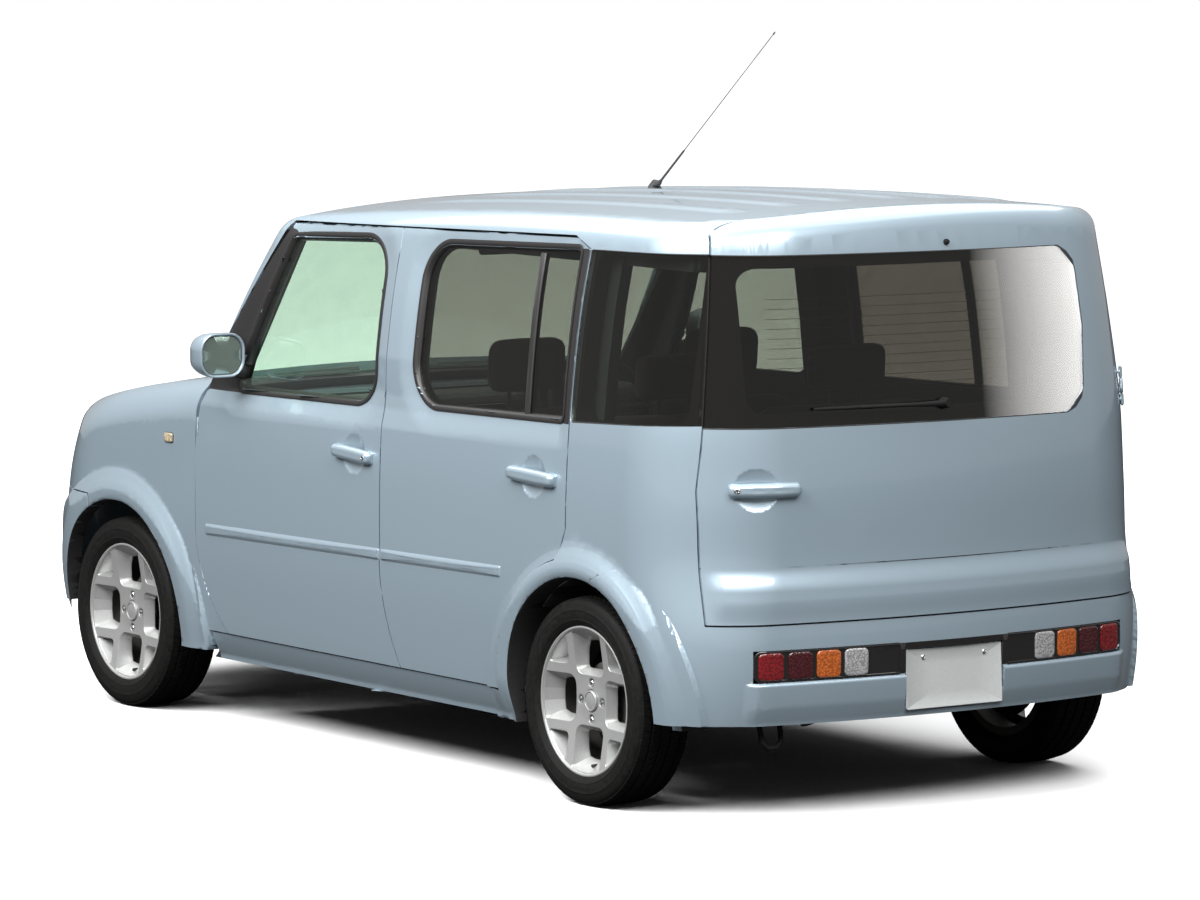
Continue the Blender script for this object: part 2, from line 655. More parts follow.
def turned(name, profile, centre, segments, angle=35):
    points, faces = [], []
    n = len(profile)
    for i in range(segments):
        a = 2 * math.pi * i / segments
        for x, r in profile:
            points.append((centre[0] + x, centre[1] + r * math.cos(a), centre[2] + r * math.sin(a)))
    for i in range(segments):
        j = (i + 1) % segments
        for k in range(n - 1):
            faces.append((i * n + k, j * n + k, j * n + k + 1, i * n + k + 1))
    return meshFrom(name, points, faces, angle)


def mirroredMesh(mesh, name):
    made = mesh.copy()
    made.name = name
    made.transform(Matrix.Scale(-1, 4, Vector((1, 0, 0))))
    made.flip_normals()
    return made


def bothSides(maker):
    for side in ("left", "right"):
        maker(side, 1 if side == "left" else -1)


def steps(low, high, step):
    return list(np.arange(low, high + 1e-9, step))


# ---- reliefs: how the painted panels dip at windows and handles and rise at ribs ----
frontWindow = [(-0.318, 1.474, 0.03), (0.192, 1.495, 0.11), (0.192, 1.027, 0.095), (-0.556, 1.014, 0.024)]
rearWindow = [(0.4, 1.493, 0.11), (1.132, 1.517, 0.014), (1.144, 1.055, 0.014), (0.4, 1.041, 0.12)]
doorShape = dict(recess=0.011, recessWidth=0.085, dishRadius=0.058, dishDepth=0.0095,
                 glassSink=0.008, frontHandle=(0.125, 0.877),
                 rearHandle=(1.028, 0.889), backHandle=(0.606, 0.902))


def loopDistance(corners, u, v):
    # how far a place lies outside a rounded outline
    spots, outs = roundedLoop(corners, 0.05, 6)
    ends = np.roll(spots, -1, 0)
    best = np.full(np.shape(u), 9.0)
    for (a, b), (c, d) in zip(spots, ends):
        run = np.hypot(c - a, d - b)
        if run < 1e-6:
            continue
        t = np.clip(((u - a) * (c - a) + (v - b) * (d - b)) / run**2, 0, 1)
        best = np.minimum(best, np.hypot(u - a - t * (c - a), v - b - t * (d - b)))
    return np.where(insidePolygon([tuple(p) for p in spots], u, v), 0, best)


def easeOut(gap, width):
    t = np.clip(1 - gap / width, 0, 1)
    return t * t * (3 - 2 * t)


def dish(u, v, centre):
    gap = np.hypot(u - centre[0], v - centre[1]) / doorShape["dishRadius"]
    bowl = np.clip(1 - gap**2, 0, 1)
    return -doorShape["dishDepth"] * bowl**0.8


def fadeAbove(z):
    return np.clip((1.16 - z) / 0.1, 0, 1)


def shoulder(y, z):
    # the side leans in above the shoulder line, most of all on the front door
    line = 0.953 + 0.013 * (y + 0.7)
    return -0.013 * np.clip((z - line) / 0.055, 0, 1) * np.clip((1.1 - y) / 1.3, 0, 1)


def frontDoorRelief(x, y, z):
    sunk = -doorShape["recess"] * easeOut(loopDistance(frontWindow, y, z), doorShape["recessWidth"])
    return sunk + shoulder(y, z) * fadeAbove(z) + dish(y, z, doorShape["frontHandle"])


def rearDoorRelief(x, y, z):
    sunk = -doorShape["recess"] * easeOut(loopDistance(rearWindow, y, z), doorShape["recessWidth"])
    sunk = sunk * np.clip((1.175 - y) / 0.04, 0, 1)
    return sunk + shoulder(y, z) * fadeAbove(z) + dish(y, z, doorShape["rearHandle"])


backShape = dict(garnishTop=0.69, garnishLift=0.011, garnishRun=0.06, garnishFoot=0.538)


def backDoorRelief(x, y, z):
    b = backShape
    below = np.maximum(b["garnishTop"] - z, 0)
    swell = 1 - easeOut(below, b["garnishRun"])
    foot = 1 - 0.6 * easeOut(np.maximum(z - b["garnishFoot"], 0), 0.07)
    edge = 1 - easeOut(np.maximum(0.738 - np.abs(x), 0), 0.04)
    return dish(x, z, doorShape["backHandle"]) + b["garnishLift"] * swell * foot * edge


flareShape = dict(ranges=(0.33, 0.344, 0.357, 0.385, 0.4, 0.42, 0.441), lifts=(0.005, 0.006, 0.0075, 0.0095, 0.0085, 0.004, 0.0))


def flareRelief(x, y, z):
    return np.interp(arcRange(y, z), flareShape["ranges"], flareShape["lifts"])


sillShape = dict(top=0.318, depth=0.1, tuck=0.022, front=-0.78, back=0.93)


def shellRelief(x, y, z):
    # the sill curves in under the doors
    s = sillShape
    below = np.clip((s["top"] - z) / s["depth"], 0, 1.1) ** 1.6
    along = np.clip((y - s["front"]) / 0.05, 0, 1) * np.clip((s["back"] - y) / 0.05, 0, 1)
    return flareRelief(x, y, z) - s["tuck"] * below * along


bumperShape = dict(top=0.3835, lift=0.009, end=0.655)


def bumperRelief(x, y, z):
    # the part below the lamps stands a little proud of the lamp row
    s = bumperShape
    below = np.clip((s["top"] - z) / 0.007, 0, 1) ** 0.5 * np.clip((z - 0.262) / 0.05, 0.3, 1)
    return s["lift"] * below * np.clip((s["end"] - np.abs(x)) / 0.03, 0, 1) * (y > 1.6) + flareRelief(x, y, z)


roofShape = dict(ribs=(-0.46, -0.28, -0.1, 0.1, 0.28, 0.46), lift=0.005, half=0.035, front=-0.1, back=1.5)


def roofRelief(x, y, z):
    lift = 0
    for spot in roofShape["ribs"]:
        lift = lift + easeOut(np.maximum(np.abs(x - spot) - 0.012, 0), roofShape["half"])
    ends = np.clip((y - roofShape["front"]) / 0.25, 0, 1) * np.clip((roofShape["back"] - y) / 0.08, 0, 1)
    return roofShape["lift"] * lift * ends


sideCuts = [(1, steps(-0.66, 0.26, 0.02)), (2, steps(0.93, 1.52, 0.02)),
            (1, steps(0.055, 0.2, 0.007)), (2, steps(0.81, 0.945, 0.007)), (1, (-0.69, -0.68, -0.675))]
rearSideCuts = [(1, steps(0.28, 1.18, 0.02)), (2, steps(0.95, 1.52, 0.02)),
                (1, steps(0.96, 1.1, 0.007)), (2, steps(0.82, 0.96, 0.007)), (1, (0.85, 0.86, 0.866, 0.87, 0.874))]
sailRegion = [(-0.72, 1.003), (-0.72, 1.02), (-0.345, 1.502), (-0.3, 1.488), (-0.43, 1.25), (-0.5, 1.12), (-0.505, 1.003)]
sashRegion = [(1.122, 1.521), (1.187, 1.521), (1.187, 1.044), (1.13, 1.044)]

frontArchCuts = [(1, steps(-1.63, -0.74, 0.016)), (2, steps(0.2, 0.735, 0.016))]
rearArchCuts = [(1, steps(0.8, 1.69, 0.016)), (2, steps(0.2, 0.735, 0.016))]

for side in ("left", "right"):
    dressPanel("door_front_" + side, paint, cabinDistance, frontDoorRelief, sideCuts, [(sailRegion, 0, blackTrim)],
               cabinPlastic)
    dressPanel("door_rear_" + side, paint, cabinDistance, rearDoorRelief, rearSideCuts, [(sashRegion, 0, blackTrim)],
               cabinPlastic)
    dressPanel("fender_" + side, paint, noseDistance, flareRelief, frontArchCuts)
    dressPanel("glass_front_" + side, clearGlass, cabinDistance, reach=0.03, sink=doorShape["glassSink"])
    dressPanel("glass_rear_" + side, privacyGlass, cabinDistance, reach=0.03, sink=doorShape["glassSink"])
print("side panels done")
backCuts = [(0, steps(0.54, 0.672, 0.0055)), (2, steps(0.835, 0.97, 0.0055)), (2, steps(0.545, 0.7, 0.0055)),
            (0, steps(-0.7, 0.7, 0.07))]
glassBed = [(0.8, 1.065), (0.8, 1.529), (-0.43, 1.5225), (-0.462, 1.505), (-0.487, 1.478), (-0.494, 1.45),
            (-0.511, 1.3), (-0.505, 1.13), (-0.496, 1.1), (-0.47, 1.074), (-0.438, 1.061)]
dressPanel("back_door", paint, cabinDistance, backDoorRelief, backCuts, [(glassBed, 1, softBlack)], softBlack, lined=0.5)
quarterBed = [(1.2, 1.05), (1.2, 1.521), (1.8, 1.533), (1.8, 1.078)]
shellCuts = rearArchCuts + [(1, (1.19, 1.64)), (1, steps(-0.82, 0.96, 0.06)), (2, steps(0.21, 0.32, 0.012))]
dressPanel("body_shell", paint, cabinDistance, shellRelief, shellCuts, [(quarterBed, 0, softBlack)], softBlack,
           lined=0.5, leftOnly=True)
bumperCuts = [(2, (0.27, 0.3, 0.33, 0.36, 0.372, 0.376, 0.38, 0.382, 0.3835)), (0, steps(-0.7, 0.7, 0.035)),
              (0, (-0.655, -0.645, -0.635, -0.625, 0.625, 0.635, 0.645, 0.655))]
dressPanel("rear_bumper", paint, cabinDistance, bumperRelief, rearArchCuts + bumperCuts)
dressPanel("rear_glass", privacyGlass, cabinDistance)
dressPanel("quarter_glass", privacyGlass, cabinDistance)
dressPanel("windscreen", clearGlass, cabinDistance, reach=0.03)
dressPanel("roof", paint, cabinDistance, roofRelief, [(0, steps(-0.54, 0.54, 0.012)), (1, steps(-0.12, 1.52, 0.09))],
           (), cabinLight)
dressPanel("bonnet", paint, noseDistance)
dressPanel("front_bumper", paint, noseDistance, flareRelief, frontArchCuts)
dressPanel("fuel_lid", paint, cabinDistance)
print("panels done")

# ---- window seals and bars ----
sealShape = dict(out=0.014, lift=0.0035, depth=0.03)


def windowSeal(side, sign):
    for name, corners, relief, body in (("frontSeal", frontWindow, frontDoorRelief, "door_front_"),
                                        ("rearSeal", rearWindow, rearDoorRelief, "door_rear_")):
        s = sealShape
        profile = [(s["out"], -0.001), (s["out"], s["lift"] - 0.001), (s["out"] - 0.002, s["lift"]), (0.003, s["lift"]),
                   (0.0, s["lift"] - 0.0015), (-0.004, -0.004), (-0.009, -0.012), (-0.009, -s["depth"])]
        band(name + side.capitalize(), onForm(side, relief), roundedLoop(corners, 0.03, 14), profile,
             nodeBody[body + side], blackTrim, closeEnd=False)
    barLoop = roundedLoop([(0.922 + 0.012, 1.5, 0.003), (0.948 + 0.012, 1.5, 0.003), (0.962 + 0.012, 1.05, 0.003),
                           (0.936 + 0.012, 1.05, 0.003)], 0.05, 3)
    band("windowBar" + side.capitalize(), onForm(side), barLoop, [(0, -0.03), (0, -0.0165), (-0.003, -0.0145)],
         nodeBody["door_rear_" + side], blackTrim, closeStart=True, rings=())


bothSides(windowSeal)
ribShape = dict(low=(-0.685, 0.586), high=(0.871, 0.61), half=0.0145, lift=0.0056, gap=(0.256, 0.268))


def sideRib(side, sign):
    # the low rib along both doors, which rises a little towards the back
    s = ribShape
    (y0, z0), (y1, z1) = s["low"], s["high"]
    for name, start, end, body in (("ribFront", y0, s["gap"][0], "door_front_"), ("ribRear", s["gap"][1], y1, "door_rear_")):
        first, last = (z0 + (z1 - z0) * (y - y0) / (y1 - y0) for y in (start, end))
        outline = [(start, first - s["half"], 0.004), (end, last - s["half"], 0.004), (end, last + s["half"], 0.004),
                   (start, first + s["half"], 0.004)]
        profile = [(0.004, -0.001), (0.001, 0.0008), (-0.002, 0.0026), (-0.0055, 0.0046), (-0.0095, s["lift"])]
        band(name + side.capitalize(), onForm(side), roundedLoop(outline, 0.03, 4), profile, nodeBody[body + side], paint,
             rings=(0.9, 0.75, 0.6, 0.45, 0.3, 0.15))


bothSides(sideRib)
print("seals and ribs done")

# ---- repeats made with geometry nodes ----


def repeatGroup(name, ring):
    group = bpy.data.node_groups.new(name, "GeometryNodeTree")
    face = group.interface
    face.new_socket("Piece", in_out="INPUT", socket_type="NodeSocketGeometry")
    face.new_socket("Count", in_out="INPUT", socket_type="NodeSocketInt")
    face.new_socket("Step", in_out="INPUT", socket_type="NodeSocketVector")
    face.new_socket("Material", in_out="INPUT", socket_type="NodeSocketMaterial")
    face.new_socket("Row", in_out="OUTPUT", socket_type="NodeSocketGeometry")
    nodes, links = group.nodes, group.links
    given = nodes.new("NodeGroupInput")
    made = nodes.new("NodeGroupOutput")
    spots = nodes.new("GeometryNodePoints")
    index = nodes.new("GeometryNodeInputIndex")
    scaled = nodes.new("ShaderNodeVectorMath")
    scaled.operation = "SCALE"
    spread = nodes.new("GeometryNodeInstanceOnPoints")
    real = nodes.new("GeometryNodeRealizeInstances")
    painted = nodes.new("GeometryNodeSetMaterial")
    links.new(given.outputs["Count"], spots.inputs["Count"])
    links.new(given.outputs["Step"], scaled.inputs[0])
    links.new(index.outputs["Index"], scaled.inputs["Scale"])
    links.new(spots.outputs["Points"], spread.inputs["Points"])
    links.new(given.outputs["Piece"], spread.inputs["Instance"])
    if ring:
        links.new(scaled.outputs["Vector"], spread.inputs["Rotation"])
    else:
        links.new(scaled.outputs["Vector"], spots.inputs["Position"])
    links.new(spread.outputs["Instances"], real.inputs["Geometry"])
    links.new(real.outputs["Geometry"], painted.inputs["Geometry"])
    links.new(given.outputs["Material"], painted.inputs["Material"])
    links.new(painted.outputs["Geometry"], made.inputs["Row"])
    return group


ringGroup = repeatGroup("ring", True)
rowGroup = repeatGroup("row", False)


def repeated(name, mesh, group, count, step, material):
    # a piece set out round the x axis (ring) or along a line (row), as one plain mesh
    source = bpy.data.objects.new(name + "Source", mesh)
    scene.collection.objects.link(source)
    modifier = source.modifiers.new("repeat", "NODES")
    modifier.node_group = group
    sockets = {s.name: s.identifier for s in group.interface.items_tree if s.in_out == "INPUT"}
    modifier[sockets["Count"]] = count
    modifier[sockets["Step"]] = step
    modifier[sockets["Material"]] = material
    bpy.context.view_layer.update()
    graph = bpy.context.evaluated_depsgraph_get()
    made = bpy.data.meshes.new_from_object(source.evaluated_get(graph))
    made.name = name
    bpy.data.objects.remove(source)
    return made


def chamferBox(name, low, high, cut, skew=0.0):
    # a box with chamfered edges; skew leans it along y as x grows
    work = bmesh.new()
    bmesh.ops.create_cube(work, size=1.0)
    for v in work.verts:
        v.co = Vector([(l + h) / 2 + c * (h - l) for l, h, c in zip(low, high, v.co)])
    bmesh.ops.bevel(work, geom=list(work.edges), offset=cut, segments=1, affect="EDGES")
    for v in work.verts:
        v.co.y += skew * (v.co.x - (low[0] + high[0]) / 2)
    mesh = bpy.data.meshes.new(name)
    work.to_mesh(mesh)
    work.free()
    return mesh


def joined(name, meshes, offsets=None):
    # several meshes put together as one, keeping their materials
    work = bmesh.new()
    paints = []
    for k, mesh in enumerate(meshes):
        start = len(work.verts)
        before = len(work.faces)
        work.from_mesh(mesh)
        work.verts.ensure_lookup_table()
        work.faces.ensure_lookup_table()
        shift = Vector(offsets[k]) if offsets else Vector((0, 0, 0))
        for v in work.verts[start:]:
            v.co += shift
        base = len(paints)
        paints += list(mesh.materials) or [None]
        for f in work.faces[before:]:
            f.material_index = base + f.material_index
    made = bpy.data.meshes.new(name)
    work.to_mesh(made)
    work.free()
    for m in paints:
        made.materials.append(m)
    return made


# ---- wheels ----
wheelShape = dict(centre=(0.725, -1.185, 0.288), rear=2.43, tread=0.288, groove=0.2815, blocks=84, hubFace=0.051,
                  rimFace=0.0725, rimEdge=0.1985, back=0.022, edge=0.0022, slope=0.0145, nut=0.0085, nutCircle=0.05,
                  cap=0.03)


def tyreMesh():
    w = wheelShape
    half = [(-0.0665, 0.1975), (-0.0685, 0.2065), (-0.077, 0.2085), (-0.0825, 0.2145), (-0.0865, 0.223),
            (-0.0875, 0.2245), (-0.0868, 0.2262), (-0.0882, 0.234), (-0.0888, 0.243), (-0.0884, 0.2505),
            (-0.0889, 0.252), (-0.0879, 0.2535), (-0.0868, 0.2615), (-0.0835, 0.271), (-0.079, 0.2775),
            (-0.0735, 0.2815), (-0.066, w["groove"] + 0.0014)]
    inner = [(-0.049, w["groove"]), (-0.017, w["groove"] + 0.0006), (0.017, w["groove"] + 0.0006), (0.049, w["groove"])]
    profile = half + inner + [(-x, r) for x, r in half[::-1]]
    carcass = turned("tyreCarcass", profile, (0, 0, 0), 112, 28)
    carcass.materials.append(rubber)
    pitch = 2 * math.pi / w["blocks"]
    gap = 0.0024
    rows = []
    for k, (a, b, skew) in enumerate(((-0.0765, -0.0515, 0.12), (-0.0455, -0.0185, 0.45), (-0.0125, 0.0125, -0.3),
                                      (0.0185, 0.0455, 0.45), (0.0515, 0.0765, -0.12))):
        top = w["tread"] - 0.0003 - 0.0016 * (k in (0, 4))
        length = top * pitch / 2 - gap / 2 * (1 if k != 2 else 0.4)
        block = chamferBox("block", (a, -length, w["groove"] - 0.004), (b, length, top), 0.0009, skew)
        if k in (0, 4):
            for v in block.vertices:
                if abs(v.co.x) > 0.074 and v.co.z > 0.28:
                    v.co.z -= 0.0035
        rows.append(repeated("treadRow", block, ringGroup, w["blocks"], (pitch, 0, 0), rubber))
    whole = joined("tyre", [carcass] + rows)
    smooth(whole, 30)
    return whole


def rimLift(a, b):
    w = wheelShape
    along = np.clip((np.hypot(a, b) - 0.06) / (w["rimEdge"] - 0.06), 0, 1)
    return w["hubFace"] + (w["rimFace"] - w["hubFace"]) * along**1.2


def rimMesh():
    w = wheelShape
    openings = []
    main = [(-0.0645, 0.071, 0.026), (0.0645, 0.071, 0.026), (0.0645, 0.1855, 0.006), (0.033, 0.1935, 0.2),
            (0, 0.1965, 0.2), (-0.033, 0.1935, 0.2), (-0.0645, 0.1855, 0.006)]
    corner = [(0.0945, 0.0945, 0.016), (0.172, 0.0945, 0.005), (0.16, 0.1135, 0.1), (0.1385, 0.1385, 0.15),
              (0.1135, 0.16, 0.1), (0.0945, 0.172, 0.005)]
    for turn in range(4):
        c, s = ((1, 0), (0, 1), (-1, 0), (0, -1))[turn]
        for corners, slope in ((main, w["slope"]), (corner, w["slope"] * 0.55)):
            openings.append((roundedLoop([(u * c - v * s, u * s + v * c, r) for u, v, r in corners], 0.012, 7), slope))
    circle = [(math.cos(math.pi * k / 24), math.sin(math.pi * k / 24)) for k in range(48)]
    small = np.array(circle[::2])
    for k in range(4):
        spot = np.array([math.cos(math.pi * k / 2), math.sin(math.pi * k / 2)]) * w["nutCircle"]
        openings.append(((spot + small * 0.0125, small), 0.0008))
    openings.append(((np.array(circle) * (w["cap"] + 0.0015), np.array(circle)), 0.0))
    points, faces = [], []

    def addRows(loop, rows):
        # each row: how far out, how far below the face, and how far towards the back plane (0 to 1)
        spots, outs = loop
        n = len(spots)
        base = len(points)
        stretch = 1 + 1.1 * np.clip((np.hypot(*spots.T) - 0.15) / 0.045, 0, 1)
        for out, drop, deep in rows:
            flat = spots + outs * (out * np.where(out < -0.002, stretch, 1))[:, None]
            lift = rimLift(spots[:, 0], spots[:, 1]) + drop
            points.extend(zip(lift * (1 - deep) + w["back"] * deep, flat[:, 0], flat[:, 1]))
        for r in range(len(rows) - 1):
            for i in range(n):
                j = (i + 1) % n
                faces.append((base + r * n + i, base + (r + 1) * n + i, base + (r + 1) * n + j, base + r * n + j))
        return base, n

    flat, edges, holes = [], [], []
    e = w["edge"]
    for loop, slope in openings:
        isNut = slope == 0.0008
        isCap = slope == 0.0
        edge = e * (0.45 if isNut or isCap else 1)
        rows = [(edge, 0, 0), (edge * 0.55, -edge * 0.16, 0), (edge * 0.16, -edge * 0.55, 0), (0.0, -edge, 0)]
        if isNut:
            rows += [(-0.0004, -0.009, 0), (-0.0018, -0.0095, 0), (-0.0019, -0.0096, 0)]
        elif isCap:
            rows += [(-0.0004, -0.006, 0), (-0.0015, -0.0062, 0)]
        else:
            rows += [(-slope * 0.35, -edge, 0.3), (-slope * 0.8, -edge, 0.72), (-slope * 0.96, -edge, 0.9),
                     (-slope, -edge, 0.96), (-slope, -edge, 1.0), (edge, -edge, 1.0)]
        base, n = addRows(loop, rows)
        holes.append((loop[0] + loop[1] * edge, base))
    start = 0
    for outline, base in holes:
        n = len(outline)
        flat += [tuple(p) for p in outline]
        edges += [(start + i, start + (i + 1) % n) for i in range(n)]
        start += n
    ringCount = 96
    outer = [(w["rimEdge"] * math.cos(2 * math.pi * k / ringCount), w["rimEdge"] * math.sin(2 * math.pi * k / ringCount))
             for k in range(ringCount)]
    outerStart = len(flat)
    flat += outer
    edges += [(outerStart + i, outerStart + (i + 1) % ringCount) for i in range(ringCount)]
    grid = np.array([(a, b) for a in steps(-0.186, 0.186, 0.0093) for b in steps(-0.186, 0.186, 0.0093)
                     if math.hypot(a, b) < w["rimEdge"] - 0.005])
    keep = np.ones(len(grid), bool)
    for outline, base in holes:
        for p in outline:
            keep &= np.hypot(*(grid - p).T) > 0.0045
        keep &= ~insidePolygon([tuple(p) for p in outline], grid[:, 0], grid[:, 1])
    flat += [tuple(p) for p in grid[keep]]
    result = delaunay_2d_cdt([Vector(p) for p in flat], edges, [], 0, 1e-7)
    spots = np.array([tuple(v) for v in result[0]])
    triangles = [tuple(t) for t in result[2]]
    middles = np.array([spots[list(t)].mean(0) for t in triangles])
    solid = np.hypot(*middles.T) < w["rimEdge"]
    for outline, base in holes:
        solid &= ~insidePolygon([tuple(p) for p in outline], middles[:, 0], middles[:, 1])
    faceStart = len(points)
    points.extend(zip(rimLift(spots[:, 0], spots[:, 1]), spots[:, 0], spots[:, 1]))
    faces += [tuple(faceStart + i for i in t) for t, good in zip(triangles, solid) if good]
    back = len(points)
    points.extend((w["back"], p[0], p[1]) for p in spots)
    faces += [tuple(back + i for i in t)[::-1] for t, good in zip(triangles, solid) if good]
    disc = meshFrom("rimDisc", points, faces, 40)
    work = bmesh.new()
    work.from_mesh(disc)
    bmesh.ops.remove_doubles(work, verts=work.verts, dist=1e-5)
    bmesh.ops.recalc_face_normals(work, faces=work.faces)
    work.to_mesh(disc)
    work.free()
    disc.materials.append(alloy)
    disc.materials.append(castIron)
    for face in disc.polygons:
        face.material_index = 1 if face.center.x < w["back"] + 0.001 else 0
    lip = turned("rimLip", [(0.0724, 0.198), (0.0731, 0.1992), (0.0762, 0.2003), (0.0778, 0.2025), (0.0779, 0.2048),
                            (0.0768, 0.207), (0.0745, 0.2078), (0.0715, 0.207), (0.0675, 0.2045), (0.067, 0.1995),
                            (0.03, 0.199), (-0.067, 0.1985), (-0.07, 0.207), (-0.075, 0.207), (-0.075, 0.184),
                            (-0.05, 0.184), (0.0, 0.186), (0.02, 0.1975)],
                 (0, 0, 0), 128, 32)
    lip.materials.append(alloy)
    lip.materials.append(castIron)
    for face in lip.polygons:
        face.material_index = 1 if face.center.x < 0.0185 else 0
    hub = turned("rimHub", [(0.02, 0.0), (0.02, 0.031), (-0.04, 0.052), (-0.04, 0.0305), (0.0, 0.0305)],
                 (0, 0, 0), 48, 32)
    hub.materials.append(castIron)
    cap = turned("rimCap", [(0.042, 0.0293), (0.0525, 0.0293), (0.0555, 0.0283), (0.0568, 0.0262), (0.0562, 0.0245),
                            (0.0546, 0.0238), (0.0552, 0.018), (0.0562, 0.01), (0.0565, 0.0)], (0, 0, 0), 56, 28)
    cap.materials.append(alloy)
    ring = turned("capRing", [(0.0562, 0.0247), (0.0551, 0.0243), (0.0549, 0.0236)], (0, 0, 0), 56, 28)
    ring.materials.append(blackTrim)
    nutSource = turned("nut", [(0.0412, 0.0115), (0.0415, w["nut"] + 0.0012), (0.0425, w["nut"]), (0.0495, w["nut"]),
                               (0.052, w["nut"] * 0.78), (0.053, w["nut"] * 0.4), (0.0532, 0.0)],
                       (0, 0, w["nutCircle"]), 6, 20)
    well = turned("nutWell", [(0.0417, 0.0), (0.0417, 0.0112)], (0, 0, w["nutCircle"]), 24)
    wells = repeated("nutWells", well, ringGroup, 4, (math.pi / 2, 0, 0), blackTrim)
    nuts = repeated("nuts", nutSource, ringGroup, 4, (math.pi / 2, 0, 0), brightMetal)
    valve = turned("valve", [(0.03, 0.0055), (0.045, 0.0045), (0.047, 0.0048), (0.056, 0.0048), (0.058, 0.0035),
                             (0.0582, 0.0)], (0, 0.012, -0.178), 12, 30)
    valve.materials.append(blackTrim)
    whole = joined("rim", [disc, lip, hub, cap, ring, nuts, wells, valve])
    smooth(whole, 34)
    return whole


def brakeMesh():
    profile = [(-0.012, 0.032), (-0.012, 0.06), (-0.004, 0.066), (-0.002, 0.1), (-0.004, 0.104), (-0.02, 0.106),
               (-0.022, 0.111), (-0.05, 0.112), (-0.05, 0.045)]
    drum = turned("brakeDrum", profile, (0, 0, 0), 64, 30)
    drum.materials.append(castIron)
    shield = turned("brakeShield", [(-0.052, 0.04), (-0.052, 0.15), (-0.056, 0.152), (-0.056, 0.04)], (0, 0, 0), 48, 30)
    shield.materials.append(matteBlack)
    drum = joined("brake", [drum, shield])
    return drum


def moved(mesh, name, shift, sign):
    made = mesh.copy()
    made.name = name
    made.transform(Matrix.Translation(Vector(shift)))
    return made if sign > 0 else mirroredMesh(made, name)


def makeWheels():
    w = wheelShape
    tyre, rim, brake = tyreMesh(), rimMesh(), brakeMesh()

    def oneSide(side, sign):
        for end, back in (("front", 0.0), ("rear", w["rear"])):
            spot = (w["centre"][0], w["centre"][1] + back, w["centre"][2])
            for kind, mesh in (("tyre", tyre), ("rim", rim)):
                node = f"{kind}_{end}_{side}"
                obj = place(node + "Skin", moved(mesh, node, spot, sign), nodeBody[node], None)
                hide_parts(node)
            carrier = nodeBody["knuckle_" + side] if end == "front" else nodeBody["rear_axle"]
            place(f"brake{end.capitalize()}{side.capitalize()}", moved(brake, "brakeDrum", spot, sign), carrier, None)
    bothSides(oneSide)


makeWheels()
print("wheels done")

# ---- rear lamps and plates ----
lampShape = dict(end=0.632, inner=0.1695, low=0.3875, high=0.4695, centre=0.428, half=0.0365,
                 lenses=((0.583, redLens), (0.4965, darkRedLens), (0.4105, amberLens), (0.3245, whiteLens)))
wideRings = (0.92, 0.84, 0.74, 0.62, 0.48, 0.32, 0.15)


def tailLamp(side, sign):
    s = lampShape
    body = nodeBody["tail_lamps"]
    outline = [(s["inner"] * sign, s["low"], 0.002), (s["end"] * sign, s["low"], 0.022), (s["end"] * sign, s["high"], 0.022),
               (s["inner"] * sign, s["high"], 0.002)]
    profile = [(0.001, -0.045), (0.001, 0.0003), (-0.0008, 0.0012), (-0.003, 0.0012), (-0.0045, -0.001)]
    band("lampHousing" + side.capitalize(), onForm("rear"), roundedLoop(outline, 0.016, 8), profile, body, lampBlack,
         rings=wideRings, replaces=("tail_lamps",) if sign > 0 else None)
    for k, (spot, lens) in enumerate(s["lenses"]):
        x = spot * sign
        h = s["half"]
        corners = [(x - h, s["centre"] - h, 0.013), (x + h, s["centre"] - h, 0.013), (x + h, s["centre"] + h, 0.013),
                   (x - h, s["centre"] + h, 0.013)]
        shape = [(0.0008, -0.004), (0.0, 0.0012), (-0.0012, 0.0024), (-0.004, 0.003)]
        band(f"lens{k}{side.capitalize()}", onForm("rear"), roundedLoop(corners, 0.012, 8), shape, body, lens,
             rings=(0.85, 0.65, 0.4, 0.2))


bothSides(tailLamp)
for sign in (-1, 1):
    # the dark surround goes on beside the plate
    edges = roundedLoop([(0.1665 * sign, 0.3875, 0.001), (0.187 * sign, 0.3875, 0.001), (0.187 * sign, 0.4705, 0.001),
                         (0.1665 * sign, 0.4705, 0.001)], 0.01, 2)
    band("plateEdge", onForm("rear"), edges, [(0, -0.004), (0, 0.0008), (-0.0008, 0.0013)], nodeBody["rear_bumper"],
         lampBlack, rings=(0.5,))
lineAbove = roundedLoop([(-0.736, 0.6915, 0.001), (0.736, 0.6915, 0.001), (0.736, 0.694, 0.001), (-0.736, 0.694, 0.001)],
                        0.03, 2)
band("garnishLine", onForm("rear", backDoorRelief), lineAbove, [(0, -0.003), (0, 0.0004)], nodeBody["back_door"],
     matteBlack, rings=(0.97, 0.93, 0.88) + wideRings[1:])
band("plateStrip", onForm("rear"), roundedLoop([(-0.173, 0.4535, 0.002), (0.173, 0.4535, 0.002), (0.173, 0.4705, 0.002),
                                                (-0.173, 0.4705, 0.002)], 0.02, 3),
     [(0, -0.01), (0, 0.0006), (-0.0008, 0.001)], nodeBody["rear_bumper"], lampBlack, rings=wideRings)


